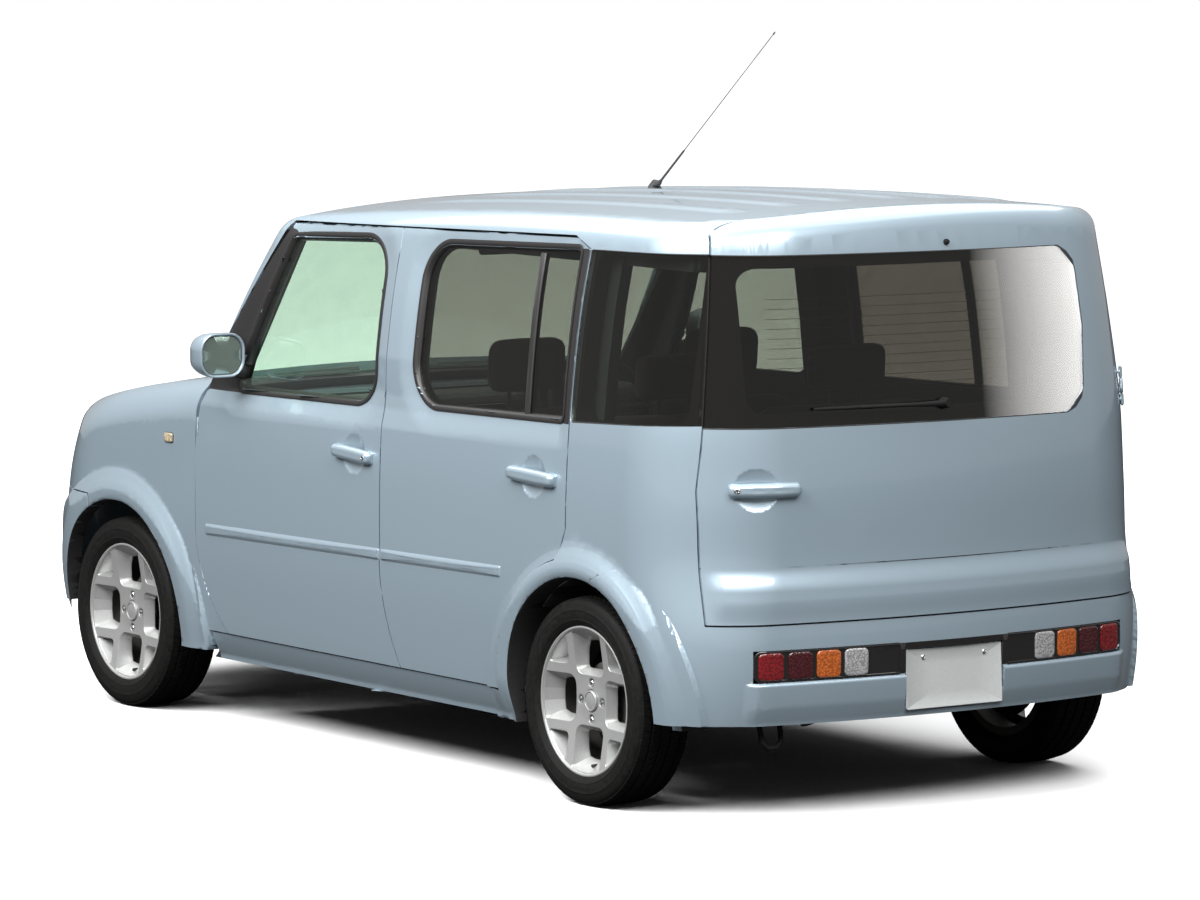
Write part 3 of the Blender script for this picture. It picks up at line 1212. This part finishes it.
def numberPlate(name, y, face, tilt, body, replaces=None):
    up = (0, -math.sin(tilt) * face, math.cos(tilt))
    side = (-face, 0, 0)
    mapper = flatPlane((0, y, 0.368 if face > 0 else 0.4), side, up)
    outline = roundedLoop([(-0.165, -0.0825, 0.006), (0.165, -0.0825, 0.006), (0.165, 0.0825, 0.006),
                           (-0.165, 0.0825, 0.006)], 0.06, 5)
    band(name, mapper, outline, [(0, -0.0035), (0, 0.0006), (-0.0008, 0.0016), (-0.0035, 0.0016), (-0.0048, 0.0008)],
         body, plateWhite, rings=(0.5,), replaces=replaces)
    for k, u in enumerate((-0.105, 0.105)):
        bolt = roundedLoop([(u - 0.007, 0.051, 0.0069), (u + 0.007, 0.051, 0.0069), (u + 0.007, 0.065, 0.0069),
                            (u - 0.007, 0.065, 0.0069)], 0.05, 6)
        band(f"{name}Bolt{k}", mapper, bolt, [(0, 0), (0, 0.003), (-0.0015, 0.0042), (-0.003, 0.0042), (-0.0035, 0.0032)],
             body, brightMetal, rings=())


numberPlate("rearPlate", 1.858, 1, 0.05, nodeBody["number_plates"], ("number_plates",))
numberPlate("frontPlate", cadBounds[0][1] + 0.013, -1, 0.0, nodeBody["number_plates"])
print("rear lamps done")

# ---- handles, key slots and side repeaters ----
handleShape = dict(half=0.0205, low=0.0045, stand=0.024, frontEnds=((0.028, 0.8825), (0.224, 0.871)),
                   rearEnds=((0.918, 0.8935), (1.14, 0.885)), backEnds=((0.674, 0.9015), (0.487, 0.9015)))


def doorHandle(name, formSide, ends, keyEnd, body):
    (a0, b0), (a1, b1) = ends
    run = np.array([a1 - a0, b1 - b0])
    length = np.linalg.norm(run)
    run /= length
    across = np.array([-run[1], run[0]])
    origin = np.array([a0, b0])
    mapper = onForm(formSide)

    def outline(points, spacing=0.02, turns=7):
        return roundedLoop([(*(origin + run * u * length + across * v), r) for u, v, r in points], spacing, turns)
    h = handleShape["half"]
    grip = outline([(0.0, -h * 0.92, 0.016), (0.0, h * 0.92, 0.016), (0.3, h, 0.05), (0.7, h, 0.05), (1.0, h * 0.92, 0.016),
                    (1.0, -h * 0.92, 0.016), (0.7, -h, 0.05), (0.3, -h, 0.05)])
    low, top = handleShape["low"], handleShape["stand"]
    band(name, mapper, grip, [(-0.004, low), (-0.0012, low + 0.0008), (0.0, low + 0.004), (-0.0006, top * 0.5),
                              (-0.0028, top * 0.74), (-0.0068, top * 0.91), (-0.012, top)], body, paint, closeStart=True, rings=(0.8, 0.45))
    for k, (u0, u1) in enumerate(((0.0, 0.19), (0.83, 1.0))):
        pad = outline([(u0, -h * 0.9, 0.01), (u0, h * 0.9, 0.01), (u1, h * 0.9, 0.008), (u1, -h * 0.9, 0.008)])
        band(f"{name}Pad{k}", mapper, pad, [(0.0012, -0.002), (0.0006, 0.002), (-0.001, low + 0.002)], body, paint,
             rings=())
    if keyEnd is not None:
        spot = origin + run * keyEnd * length
        circle = np.array([(math.cos(math.pi * k / 12), math.sin(math.pi * k / 12)) for k in range(24)])
        band(name + "Key", mapper, (spot + circle * 0.0072, circle), [(0, top * 0.5), (0, top + 0.0006), (-0.001, top + 0.0012),
             (-0.003, top + 0.0012), (-0.0034, top + 0.0004)], body, brightMetal, rings=())
        slot = roundedLoop([(spot[0] - 0.0012, spot[1] - 0.0042, 0.0005), (spot[0] + 0.0012, spot[1] - 0.0042, 0.0005),
                            (spot[0] + 0.0012, spot[1] + 0.0042, 0.0005), (spot[0] - 0.0012, spot[1] + 0.0042, 0.0005)],
                           0.05, 2)
        band(name + "KeySlot", mapper, slot, [(0, top * 0.5), (0, top + 0.0011)], body, softBlack, rings=())


def sideHandles(side, sign):
    title = side.capitalize()
    doorHandle("handleFront" + title, side, handleShape["frontEnds"], 0.9, nodeBody["door_front_" + side])
    doorHandle("handleRear" + title, side, handleShape["rearEnds"], None, nodeBody["door_rear_" + side])
    repeater = roundedLoop([(-0.918, 0.828, 0.007), (-0.872, 0.828, 0.007), (-0.872, 0.856, 0.007), (-0.918, 0.856, 0.007)],
                           0.02, 6)
    wing = "wing" if sign > 0 else "wingRight"
    band("repeaterEdge" + title, onForm(wing), repeater, [(0.0018, -0.002), (0.0018, 0.0012), (0.0008, 0.0018),
         (-0.0012, 0.0018)], nodeBody["fender_" + side], softBlack, closeEnd=False)
    band("repeater" + title, onForm(wing), repeater, [(0, -0.001), (-0.0002, 0.0035), (-0.0015, 0.0058), (-0.004, 0.0072)],
         nodeBody["fender_" + side], repeaterLens, rings=(0.6, 0.3))


bothSides(sideHandles)
doorHandle("handleBack", "rear", handleShape["backEnds"], 0.1, nodeBody["back_door"])
print("handles done")

# ---- door mirrors ----
mirrorShape = dict(centre=(0.893, 1.12), width=0.15, height=0.128, rounding=0.05, back=-0.472, front=-0.568)


def doorMirror(side, sign):
    s = mirrorShape
    cx, cz = s["centre"]
    body = nodeBody["mirror_" + side]
    a, b, r = s["width"] / 2, s["height"] / 2, s["rounding"]
    loop = roundedLoop([(cx - a, cz - b, r), (cx + a, cz - b, r), (cx + a, cz + b, r), (cx - a, cz + b, r)], 0.02, 10)
    mapper = flatPlane((0, s["back"], 0), (1, 0, 0), (0, 0, 1))

    def rearward(u, v, lift):
        # flatPlane faces forwards for x then z, so the lift is turned about
        points = mapper(u, v, -np.asarray(lift, float))
        points[:, 0] *= sign
        return points
    shell = [(-0.0075, -0.004), (-0.0055, 0.001), (-0.002, 0.0022), (0.0005, 0.001), (0.001, -0.004), (0.0005, -0.03),
             (-0.003, -0.055), (-0.0095, -0.076), (-0.02, -0.09), (-0.034, -0.098)]
    band("mirrorShell" + side.capitalize(), rearward, loop, shell, body, paint, rings=(0.6, 0.3), angle=40,
         replaces=("mirror_" + side,))
    band("mirrorGlass" + side.capitalize(), rearward, loop, [(-0.006, -0.02), (-0.0085, -0.0052), (-0.0095, -0.0045)], body,
         mirrorGlass, rings=(0.5,))
    band("mirrorRim" + side.capitalize(), rearward, loop, [(-0.0098, -0.0048), (-0.0092, -0.0035), (-0.0075, -0.0028),
         (-0.006, -0.0036), (-0.0055, -0.02)], body, softBlack, closeEnd=False)
    foot = [(0.782, -0.535, 1.064), (0.805, -0.53, 1.066), (0.84, -0.525, 1.074), (0.862, -0.522, 1.085)]
    tube("mirrorFoot" + side.capitalize(), [(x * sign, y, z) for x, y, z in foot], [0.026, 0.021, 0.018, 0.016], body,
         softBlack, 16)


bothSides(doorMirror)
print("mirrors done")

# ---- aerial, washer nozzle, rear wiper ----


def aerialRod():
    body = nodeBody["aerial"]
    base = Vector((0, 0.45, 1.628))
    tip = Vector((0, 1.024, 2.0925))
    along = (tip - base).normalized()
    length = (tip - base).length
    spot = lambda d: base + along * d
    obj = tube("aerialRod", [spot(0.015), spot(length * 0.24), spot(length * 0.25), spot(length * 0.985), spot(length * 0.987),
                             spot(length)], [0.0036, 0.003, 0.0013, 0.001, 0.0022, 0.0018], body, softBlack, 10)
    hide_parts("aerial")
    tube("aerialFoot", [base + Vector((0, -0.004, -0.006)), base + Vector((0, -0.003, 0.004)), base + Vector((0, 0, 0.012)),
                        spot(0.024), spot(0.036)], [0.021, 0.019, 0.0135, 0.0075, 0.0045], body, softBlack, 20)


def rearWiper():
    body = nodeBody["rear_wiper"]
    rear = onForm("rear")

    def at(x, z, lift):
        return tuple(rear(np.array([x]), np.array([z]), lift)[0])
    arm = tube("wiperArm", [at(0.019, 1.112, 0.016), at(0.06, 1.112, 0.02), at(0.12, 1.1125, 0.02), at(0.2, 1.113, 0.018),
                            at(0.3, 1.113, 0.015)], [0.009, 0.0085, 0.0065, 0.0045, 0.003], body, matteBlack, 10)
    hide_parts("rear_wiper")
    tube("wiperBlade", [at(x, 1.1135, 0.0085) for x in (0.1, 0.16, 0.22, 0.28, 0.34, 0.4, 0.44)],
         [0.0035, 0.005, 0.0055, 0.006, 0.0055, 0.005, 0.0035], body, matteBlack, 8)
    tube("wiperPivot", [at(0.019, 1.112, -0.002), at(0.019, 1.112, 0.012), at(0.019, 1.112, 0.026)],
         [0.016, 0.015, 0.011], body, matteBlack, 20)


aerialRod()
rearWiper()
nozzle = onForm("rear")(np.full(3, -0.019), np.full(3, 1.5465), np.array([-0.004, 0.006, 0.012]))
tube("washerNozzle", nozzle, [0.0085, 0.008, 0.005], nodeBody["roof"], matteBlack, 14)
print("rear fittings done")

# ---- seats: cushions filled out by a short cloth run ----
seatShape = dict(voxel=0.0145, capLift=0.024, frames=6)


def boxMesh(name, low, high, rounding):
    work = bmesh.new()
    bmesh.ops.create_cube(work, size=1.0)
    for v in work.verts:
        v.co = Vector([(l + h) / 2 + c * (h - l) for l, h, c in zip(low, high, v.co)])
    bmesh.ops.bevel(work, geom=list(work.edges), offset=rounding, segments=4, affect="EDGES", profile=0.5)
    mesh = bpy.data.meshes.new(name)
    work.to_mesh(mesh)
    work.free()
    return mesh


def cushion(name, low, high, rounding, body, lean=0.0, hollow=0.0, replaces=None, material=None):
    mesh = boxMesh(name, low, high, rounding)
    obj = bpy.data.objects.new(name, mesh)
    scene.collection.objects.link(obj)
    remesh = obj.modifiers.new("voxels", "REMESH")
    remesh.mode = "VOXEL"
    remesh.voxel_size = seatShape["voxel"]
    cloth = obj.modifiers.new("cloth", "CLOTH")
    settings = cloth.settings
    settings.quality = 3
    settings.use_pressure = True
    settings.uniform_pressure_force = 4
    settings.effector_weights.gravity = 0
    settings.tension_stiffness = 12
    settings.compression_stiffness = 12
    settings.bending_stiffness = 1.2
    scene.frame_start, scene.frame_end = 1, seatShape["frames"]
    for frameNumber in range(1, seatShape["frames"] + 1):
        scene.frame_set(frameNumber)
    obj.modifiers.new("finer", "SUBSURF").levels = 1
    graph = bpy.context.evaluated_depsgraph_get()
    made = bpy.data.meshes.new_from_object(obj.evaluated_get(graph))
    made.name = name
    bpy.data.objects.remove(obj)
    scene.frame_set(1)
    start = np.zeros(len(made.vertices) * 3)
    made.vertices.foreach_get("co", start)
    points = start.reshape(-1, 3)
    lowV, highV = np.array(low), np.array(high)
    limit = seatShape["capLift"]
    points = np.clip(points, lowV - limit, highV + limit)
    middle, half = (lowV + highV) / 2, (highV - lowV) / 2
    flat = (points - middle) / half
    # side bolsters stand up and the middle is pressed in
    thin = int(np.argmin(half))
    across = np.abs(flat[:, 0])
    sink = hollow * (np.clip(1 - across, 0, 1) ** 0.7 - 0.25) * np.clip(flat[:, thin] * (1 if thin == 2 else -1), 0, 1)
    points[:, thin] -= sink * (1 if thin == 2 else -1)
    points[:, 1] += lean * (points[:, 2] - low[2])
    made.vertices.foreach_set("co", points.ravel())
    smooth(made, 60)
    obj = place(name, made, body, material or seatCloth)
    if replaces:
        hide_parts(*replaces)
    return obj


def frontSeat(side, sign):
    x = 0.345 * sign
    body = nodeBody["front_seats"]
    title = side.capitalize()
    first = ("front_seats",) if sign > 0 else None
    cushion("seatBase" + title, (x - 0.24, -0.32, 0.35), (x + 0.24, 0.19, 0.485), 0.045, body, hollow=0.03, replaces=first)
    cushion("seatBack" + title, (x - 0.235, 0.165, 0.44), (x + 0.235, 0.275, 1.0), 0.045, body, 0.16, 0.025)
    cushion("headRest" + title, (x - 0.125, 0.252, 1.045), (x + 0.125, 0.332, 1.2), 0.035, body, 0.08)
    for k, offset in enumerate((-0.055, 0.055)):
        tube(f"restPost{k}{title}", [(x + offset, 0.285, 0.98), (x + offset, 0.293, 1.07)], 0.006, body, brightMetal, 10)
    for k, offset in enumerate((-0.19, 0.19)):
        rail = chamferBox("seatRail", (x + offset - 0.02, -0.28, 0.2485), (x + offset + 0.02, 0.16, 0.35), 0.004)
        place(f"seatRail{k}{title}", rail, body, steel)


bothSides(frontSeat)
rearBody = nodeBody["rear_seat"]
for k, x in enumerate((-0.3, 0.3)):
    first = ("rear_seat",) if k == 0 else None
    cushion(f"rearBase{k}", (x - 0.292, 0.475, 0.375), (x + 0.292, 0.868, 0.535), 0.05, rearBody, hollow=0.02, replaces=first)
    cushion(f"rearBack{k}", (x - 0.292, 0.855, 0.54), (x + 0.292, 0.965, 1.035), 0.045, rearBody, 0.1, 0.02)
    cushion(f"rearRest{k}", (x - 0.13, 0.93, 1.07), (x + 0.13, 1.0, 1.2), 0.03, rearBody, 0.05)
    for n, offset in enumerate((-0.05, 0.05)):
        tube(f"rearPost{k}{n}", [(x + offset, 0.955, 1.0), (x + offset, 0.965, 1.09)], 0.006, rearBody, brightMetal, 10)
print("seats done")

# ---- dashboard, steering wheel, interior mirror ----


def cabinFront():
    body = nodeBody["dashboard"]
    main = boxMesh("dashTop", (-0.655, -0.7, 0.74), (0.655, -0.49, 0.965), 0.05)
    obj = place("dashTop", main, body, cabinPlastic)
    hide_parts("dashboard")
    place("dashFoot", boxMesh("dashFoot", (-0.16, -0.69, 0.42), (0.16, -0.52, 0.78), 0.03), body, cabinPlastic)
    place("dashShelf", boxMesh("dashShelf", (-0.64, -0.68, 0.64), (0.64, -0.52, 0.745), 0.03), body, cabinLight)
    place("clusterHood", boxMesh("clusterHood", (-0.5, -0.56, 0.93), (-0.2, -0.46, 1.0), 0.03), body, softBlack)
    place("centreScreen", boxMesh("centreScreen", (-0.12, -0.499, 0.8), (0.12, -0.482, 0.93), 0.006), body, lampBlack)
    for k, x in enumerate((-0.58, -0.16, 0.16, 0.58)):
        vent = turned("vent", [(-0.004, 0.03), (0.0, 0.034), (0.004, 0.034), (0.004, 0.026), (0.001, 0.024), (0.001, 0.0)],
                      (0, 0, 0), 32)
        vent.transform(Matrix.Translation((x, -0.487, 0.885)) @ Matrix.Rotation(math.pi / 2, 4, "Z"))
        place(f"vent{k}", vent, body, brightMetal)
    tube("steeringColumn", [(-0.35, -0.52, 0.815), (-0.35, -0.335, 0.902)], 0.026, body, softBlack, 24)
    wheelBody = nodeBody["steering_wheel"]
    across = Vector((1, 0, 0))
    along = Vector((0, 230, 105)).normalized()
    up = along.cross(across)
    hub = Vector((-0.35, -0.3297, 0.9052)) + along * 0.013
    rim = [hub + (across * math.cos(a) + up * math.sin(a)) * 0.1725 for a in np.linspace(0, 2 * math.pi, 73)]
    obj = tube("steeringRim", rim, 0.0135, wheelBody, softBlack, 16)
    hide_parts("steering_wheel")
    for k, angle in enumerate((0.0, math.pi, -math.pi / 2)):
        outward = across * math.cos(angle) + up * math.sin(angle)
        tube(f"steeringSpoke{k}", [hub + outward * 0.04, hub + outward * 0.1, hub + outward * 0.17], [0.02, 0.014, 0.011],
             wheelBody, softBlack, 12)
    pad = turned("steeringPad", [(-0.016, 0.0), (-0.016, 0.05), (0.004, 0.062), (0.016, 0.055), (0.021, 0.03), (0.022, 0.0)],
                 (0, 0, 0), 40)
    turn = Matrix((along, across, up)).transposed().to_4x4()
    pad.transform(Matrix.Translation(hub) @ turn)
    place("steeringPad", pad, wheelBody, softBlack)
    mirrorBody = nodeBody["interior_mirror"]
    obj = place("cabinMirror", boxMesh("cabinMirror", (-0.115, -0.3, 1.395), (0.115, -0.272, 1.465), 0.013), mirrorBody,
                softBlack)
    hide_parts("interior_mirror")
    place("cabinMirrorGlass", boxMesh("cabinMirrorGlass", (-0.107, -0.2735, 1.402), (0.107, -0.2705, 1.458), 0.0014),
          mirrorBody, mirrorGlass)
    tube("cabinMirrorStem", [(0, -0.287, 1.45), (0, -0.305, 1.48), (0, -0.33, 1.536)], [0.01, 0.008, 0.009], mirrorBody,
         softBlack, 12)


cabinFront()
print("cabin done")

# ---- front lamps, grille, cowl and wipers ----
noseShape = dict(lampSpots=((0.452, 0.056), (0.605, 0.05)), lampHeight=0.722, slats=5, slatStep=0.0265, slatLow=0.666)


def headlamp(side, sign):
    body = nodeBody["headlamps"]
    circle = np.array([(math.cos(math.pi * k / 20), math.sin(math.pi * k / 20)) for k in range(40)])
    for k, (x, radius) in enumerate(noseShape["lampSpots"]):
        loop = (np.array([x * sign, noseShape["lampHeight"]]) + circle * radius, circle)
        band(f"lampRing{k}{side.capitalize()}", onForm("nose"), loop, [(0.004, -0.004), (0.003, 0.0005), (0.0, 0.0022),
             (-0.004, 0.0016), (-0.006, -0.0015)], body, brightMetal, closeEnd=False)
        band(f"lampBowl{k}{side.capitalize()}", onForm("nose"), loop, [(-0.005, -0.002), (-0.008, 0.0006), (-0.016, 0.003)],
             body, whiteLens if k == 0 else amberLens, rings=(0.8, 0.5, 0.25))


def frontFittings():
    dressPanel("headlamps", headLens, noseDistance)
    dressPanel("grille", softBlack)
    bothSides(headlamp)
    slatLoop = roundedLoop([(-0.322, -0.005, 0.002), (0.322, -0.005, 0.002), (0.322, 0.005, 0.002), (-0.322, 0.005, 0.002)],
                           0.03, 3)
    spots = slatLoop[0] + np.array([0, noseShape["slatLow"]])
    first = band("slatSource", onForm("nose"), (spots, slatLoop[1]), [(0, -0.02), (0, -0.006), (-0.0015, -0.0045)],
                 nodeBody["grille"], blackTrim, closeStart=True, rings=())
    low = onForm("nose")(np.array([0.0]), np.array([noseShape["slatLow"]]), 0.0)[0]
    above = onForm("nose")(np.array([0.0]), np.array([noseShape["slatLow"] + noseShape["slatStep"]]), 0.0)[0]
    mesh = repeated("grilleSlats", first.data, rowGroup, noseShape["slats"], (0, float(above[1] - low[1]),
                    noseShape["slatStep"]), blackTrim)
    bpy.data.objects.remove(first)
    place("grilleSlats", mesh, nodeBody["grille"], blackTrim)
    lowOpening = roundedLoop([(-0.44, 0.262, 0.02), (0.44, 0.262, 0.02), (0.44, 0.312, 0.02), (-0.44, 0.312, 0.02)], 0.03, 6)
    band("lowGrille", onForm("nose"), lowOpening, [(0.003, -0.004), (0.003, 0.0012), (0.0, 0.002), (-0.003, 0.001)],
         nodeBody["front_bumper"], softBlack, rings=wideRings)
    body = nodeBody["front_wipers"]
    for k, (foot, tip) in enumerate(((-0.56, 0.06), (0.12, 0.64))):
        path = [(x, -0.935 + 0.29 * x * x, 1.0024 + 0.0036 * (x - foot) / (tip - foot)) for x in np.linspace(foot, tip, 9)]
        obj = tube(f"frontBlade{k}", path, [0.004] + [0.0075] * 7 + [0.004], body, softBlack, 8)
        if k == 0:
            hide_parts("front_wipers")
        arm = [(p[0], p[1] - 0.012, p[2] + 0.008) for p in path[:6]]
        tube(f"frontArm{k}", arm, [0.011, 0.009, 0.007, 0.006, 0.005, 0.004], body, softBlack, 8)


frontFittings()


def heaterLines():
    # fine lines across the back glass, as one row
    rear = onForm("rear")
    across = np.arange(-0.42, 0.561, 0.02)
    points, faces = [], []
    for z in np.linspace(1.146, 1.41, 11):
        for rise in (-0.0006, 0.0006):
            points += [tuple(p) for p in rear(across, np.full(len(across), z + rise), -0.0062)]
    for row in range(0, 22, 2):
        for i in range(len(across) - 1):
            first = row * len(across) + i
            faces.append((first, first + 1, first + 1 + len(across), first + len(across)))
    place("heaterLines", meshFrom("heaterLines", points, faces), nodeBody["rear_glass"], heaterBrown)


heaterLines()
print("front and heater done")

# ---- underneath ----
pipeShape = dict(route=((0, -1.2597, 0.278), (0, -0.4, 0.278), (0, 0.6, 0.278), (0, 0.86, 0.285), (0, 0.97, 0.36),
                        (0, 1.06, 0.43), (0, 1.28, 0.43), (0.12, 1.37, 0.41), (0.29, 1.468, 0.381)), radius=0.024)


def underneath():
    body = nodeBody["exhaust"]
    obj = tube("exhaustPipe", pipeShape["route"], pipeShape["radius"], body, steel, 20)
    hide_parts("exhaust")
    muffler = boxMesh("muffler", (0.25, 1.465, 0.305), (0.51, 1.695, 0.455), 0.045)
    place("muffler", muffler, body, steel)
    tube("mufflerHanger", [(0.38, 1.58, 0.44), (0.38, 1.58, 0.6)], 0.006, body, steel, 10)
    outer = [(0.42, 1.68, 0.348), (0.42, 1.72, 0.318), (0.42, 1.745, 0.286), (0.42, 1.76, 0.258)]
    tube("tailPipe", outer, [0.021, 0.021, 0.022, 0.023], body, steel, 24)
    tube("tailPipeHole", [(0.42, 1.7585, 0.262), (0.42, 1.7608, 0.2572)], 0.0195, body, softBlack, 24)
    shell = nodeBody["body_shell"]
    hook = [(0.50, 1.70, 0.33), (0.50, 1.735, 0.262), (0.502, 1.745, 0.215), (0.52, 1.748, 0.198), (0.548, 1.748, 0.198),
            (0.566, 1.745, 0.215), (0.568, 1.735, 0.262), (0.568, 1.70, 0.33)]
    tube("towHook", hook, 0.0075, shell, matteBlack, 12)
    for side in (-1, 1):
        turns = 5.5
        coil = [(side * 0.5 + 0.05 * math.cos(a), 1.11 + 0.05 * math.sin(a), 0.335 + 0.012 + 0.2 * a / (2 * math.pi * turns))
                for a in np.linspace(0, 2 * math.pi * turns, 120)]
        title = "Left" if side > 0 else "Right"
        tube("rearSpring" + title, coil, 0.0065, nodeBody["rear_axle"], castIron, 8)
        tube("rearDamper" + title, [(side * 0.56, 1.2, 0.3), (side * 0.56, 1.17, 0.5)], 0.02, nodeBody["rear_axle"], castIron, 16)


underneath()
plainNodes = {"rear_axle": steel, "front_subframe": steel, "knuckle_left": castIron, "knuckle_right": castIron,
              "engine_block": engineCast, "fuel_tank": softBlack, "cowl": softBlack}
for name, material in plainNodes.items():
    dressPanel(name, material)
print("underneath done")

# ---- stage, light and camera ----


stageShape = dict(size=40, floorSeen=(0.98, 0.98, 0.98), floorBounce=(0.05, 0.05, 0.05),
                  worldLight=0.12, worldShine=0.4, whiteFrom=2.6, whiteTo=6.5)


def makeStage():
    s = stageShape
    far = s["size"]
    floorMesh = meshFrom("floor", [(-far, -far, 0), (far, -far, 0), (far, far, 0), (-far, far, 0)], [(0, 1, 2, 3)])
    floor = bpy.data.objects.new("floor", floorMesh)
    scene.collection.objects.link(floor)
    material, shader = newMaterial("floorPaint", s["floorSeen"], 0.9)
    shader.inputs["Specular IOR Level"].default_value = 0.0
    path = addNode(material, "ShaderNodeLightPath")
    seen = path.outputs["Is Camera Ray"]
    join(material, colorRamp(material, seen, s["floorBounce"], s["floorSeen"], 0.0, 1.0), shader.inputs["Base Color"])
    # the floor fades to plain white away from the car
    spot = addNode(material, "ShaderNodeTexCoord")
    away = addNode(material, "ShaderNodeVectorMath", None, {"operation": "LENGTH"})
    join(material, spot.outputs["Object"], away.inputs[0])
    glow = addNode(material, "ShaderNodeMath", None, {"operation": "MULTIPLY"})
    join(material, ramp(material, away.outputs["Value"], 0.0, 1.0, s["whiteFrom"], s["whiteTo"]), glow.inputs[0])
    join(material, seen, glow.inputs[1])
    shader.inputs["Emission Color"].default_value = (1, 1, 1, 1)
    join(material, glow.outputs["Value"], shader.inputs["Emission Strength"])
    floorMesh.materials.append(material)
    world = bpy.data.worlds.new("studio")
    world.use_nodes = True
    scene.world = world
    background = world.node_tree.nodes["Background"]
    background.inputs["Color"].default_value = (1, 1, 1, 1)
    path = addNode(world, "ShaderNodeLightPath")
    shine = ramp(world, path.outputs["Is Glossy Ray"], s["worldLight"], s["worldShine"], 0.0, 1.0)
    strength = addNode(world, "ShaderNodeMath", None, {"operation": "MAXIMUM"})
    join(world, shine, strength.inputs[0])
    join(world, path.outputs["Is Camera Ray"], strength.inputs[1])
    join(world, strength.outputs["Value"], background.inputs["Strength"])


makeStage()


def areaLight(name, spot, target, size, power, spread=180, only=None):
    data = bpy.data.lights.new(name, "AREA")
    data.shape = "RECTANGLE"
    data.size, data.size_y = size
    data.energy = power
    data.spread = math.radians(spread)
    lamp = bpy.data.objects.new(name, data)
    lamp.location = spot
    lamp.rotation_euler = (Vector(target) - Vector(spot)).to_track_quat("-Z", "Y").to_euler()
    scene.collection.objects.link(lamp)
    if only:
        lit = bpy.data.collections.new(name + "Lit")
        lit.objects.link(bpy.data.objects[only])
        lamp.light_linking.receiver_collection = lit


areaLight("overhead", (-0.5, -1.0, 6.5), (0, 0, 0), (11, 9), 800)
areaLight("left", (7, 1.0, 6.3), (0, 0, 0.8), (8, 4), 1460)
areaLight("behind", (2.0, 7.5, 6.5), (0, 0, 0.8), (7, 4), 960)
# a narrow light that shows as the pale sheen on the right of the back glass
areaLight("right", (-9, 5.5, 2.4), (0, 1.7, 1.3), (9, 5), 260, 50, "rear_glassSkin")

cameraShape = dict(spot=(11.1312, 16.065, 2.7562), yaw=214.993, pitch=5.628, roll=0.1426, lens=200.1,
                   shift=(2.2 / 1200, 0.92 / 1200))


def makeCamera():
    c = cameraShape
    yaw, pitch, roll = (math.radians(c[k]) for k in ("yaw", "pitch", "roll"))
    ahead = Vector((math.sin(yaw) * math.cos(pitch), math.cos(yaw) * math.cos(pitch), -math.sin(pitch)))
    right = ahead.cross(Vector((0, 0, 1))).normalized()
    up = right.cross(ahead)
    rolledRight = math.cos(roll) * right + math.sin(roll) * up
    rolledUp = math.cos(roll) * up - math.sin(roll) * right
    data = bpy.data.cameras.new("camera")
    data.lens, data.sensor_width, data.sensor_fit = c["lens"], 36, "HORIZONTAL"
    data.shift_x, data.shift_y = c["shift"]
    data.clip_end = 200
    camera = bpy.data.objects.new("camera", data)
    scene.collection.objects.link(camera)
    camera.matrix_world = Matrix(((rolledRight.x, rolledUp.x, -ahead.x, c["spot"][0]),
                                  (rolledRight.y, rolledUp.y, -ahead.y, c["spot"][1]),
                                  (rolledRight.z, rolledUp.z, -ahead.z, c["spot"][2]), (0, 0, 0, 1)))
    scene.camera = camera


makeCamera()
scene.view_settings.view_transform = "Standard"


print("scene done")
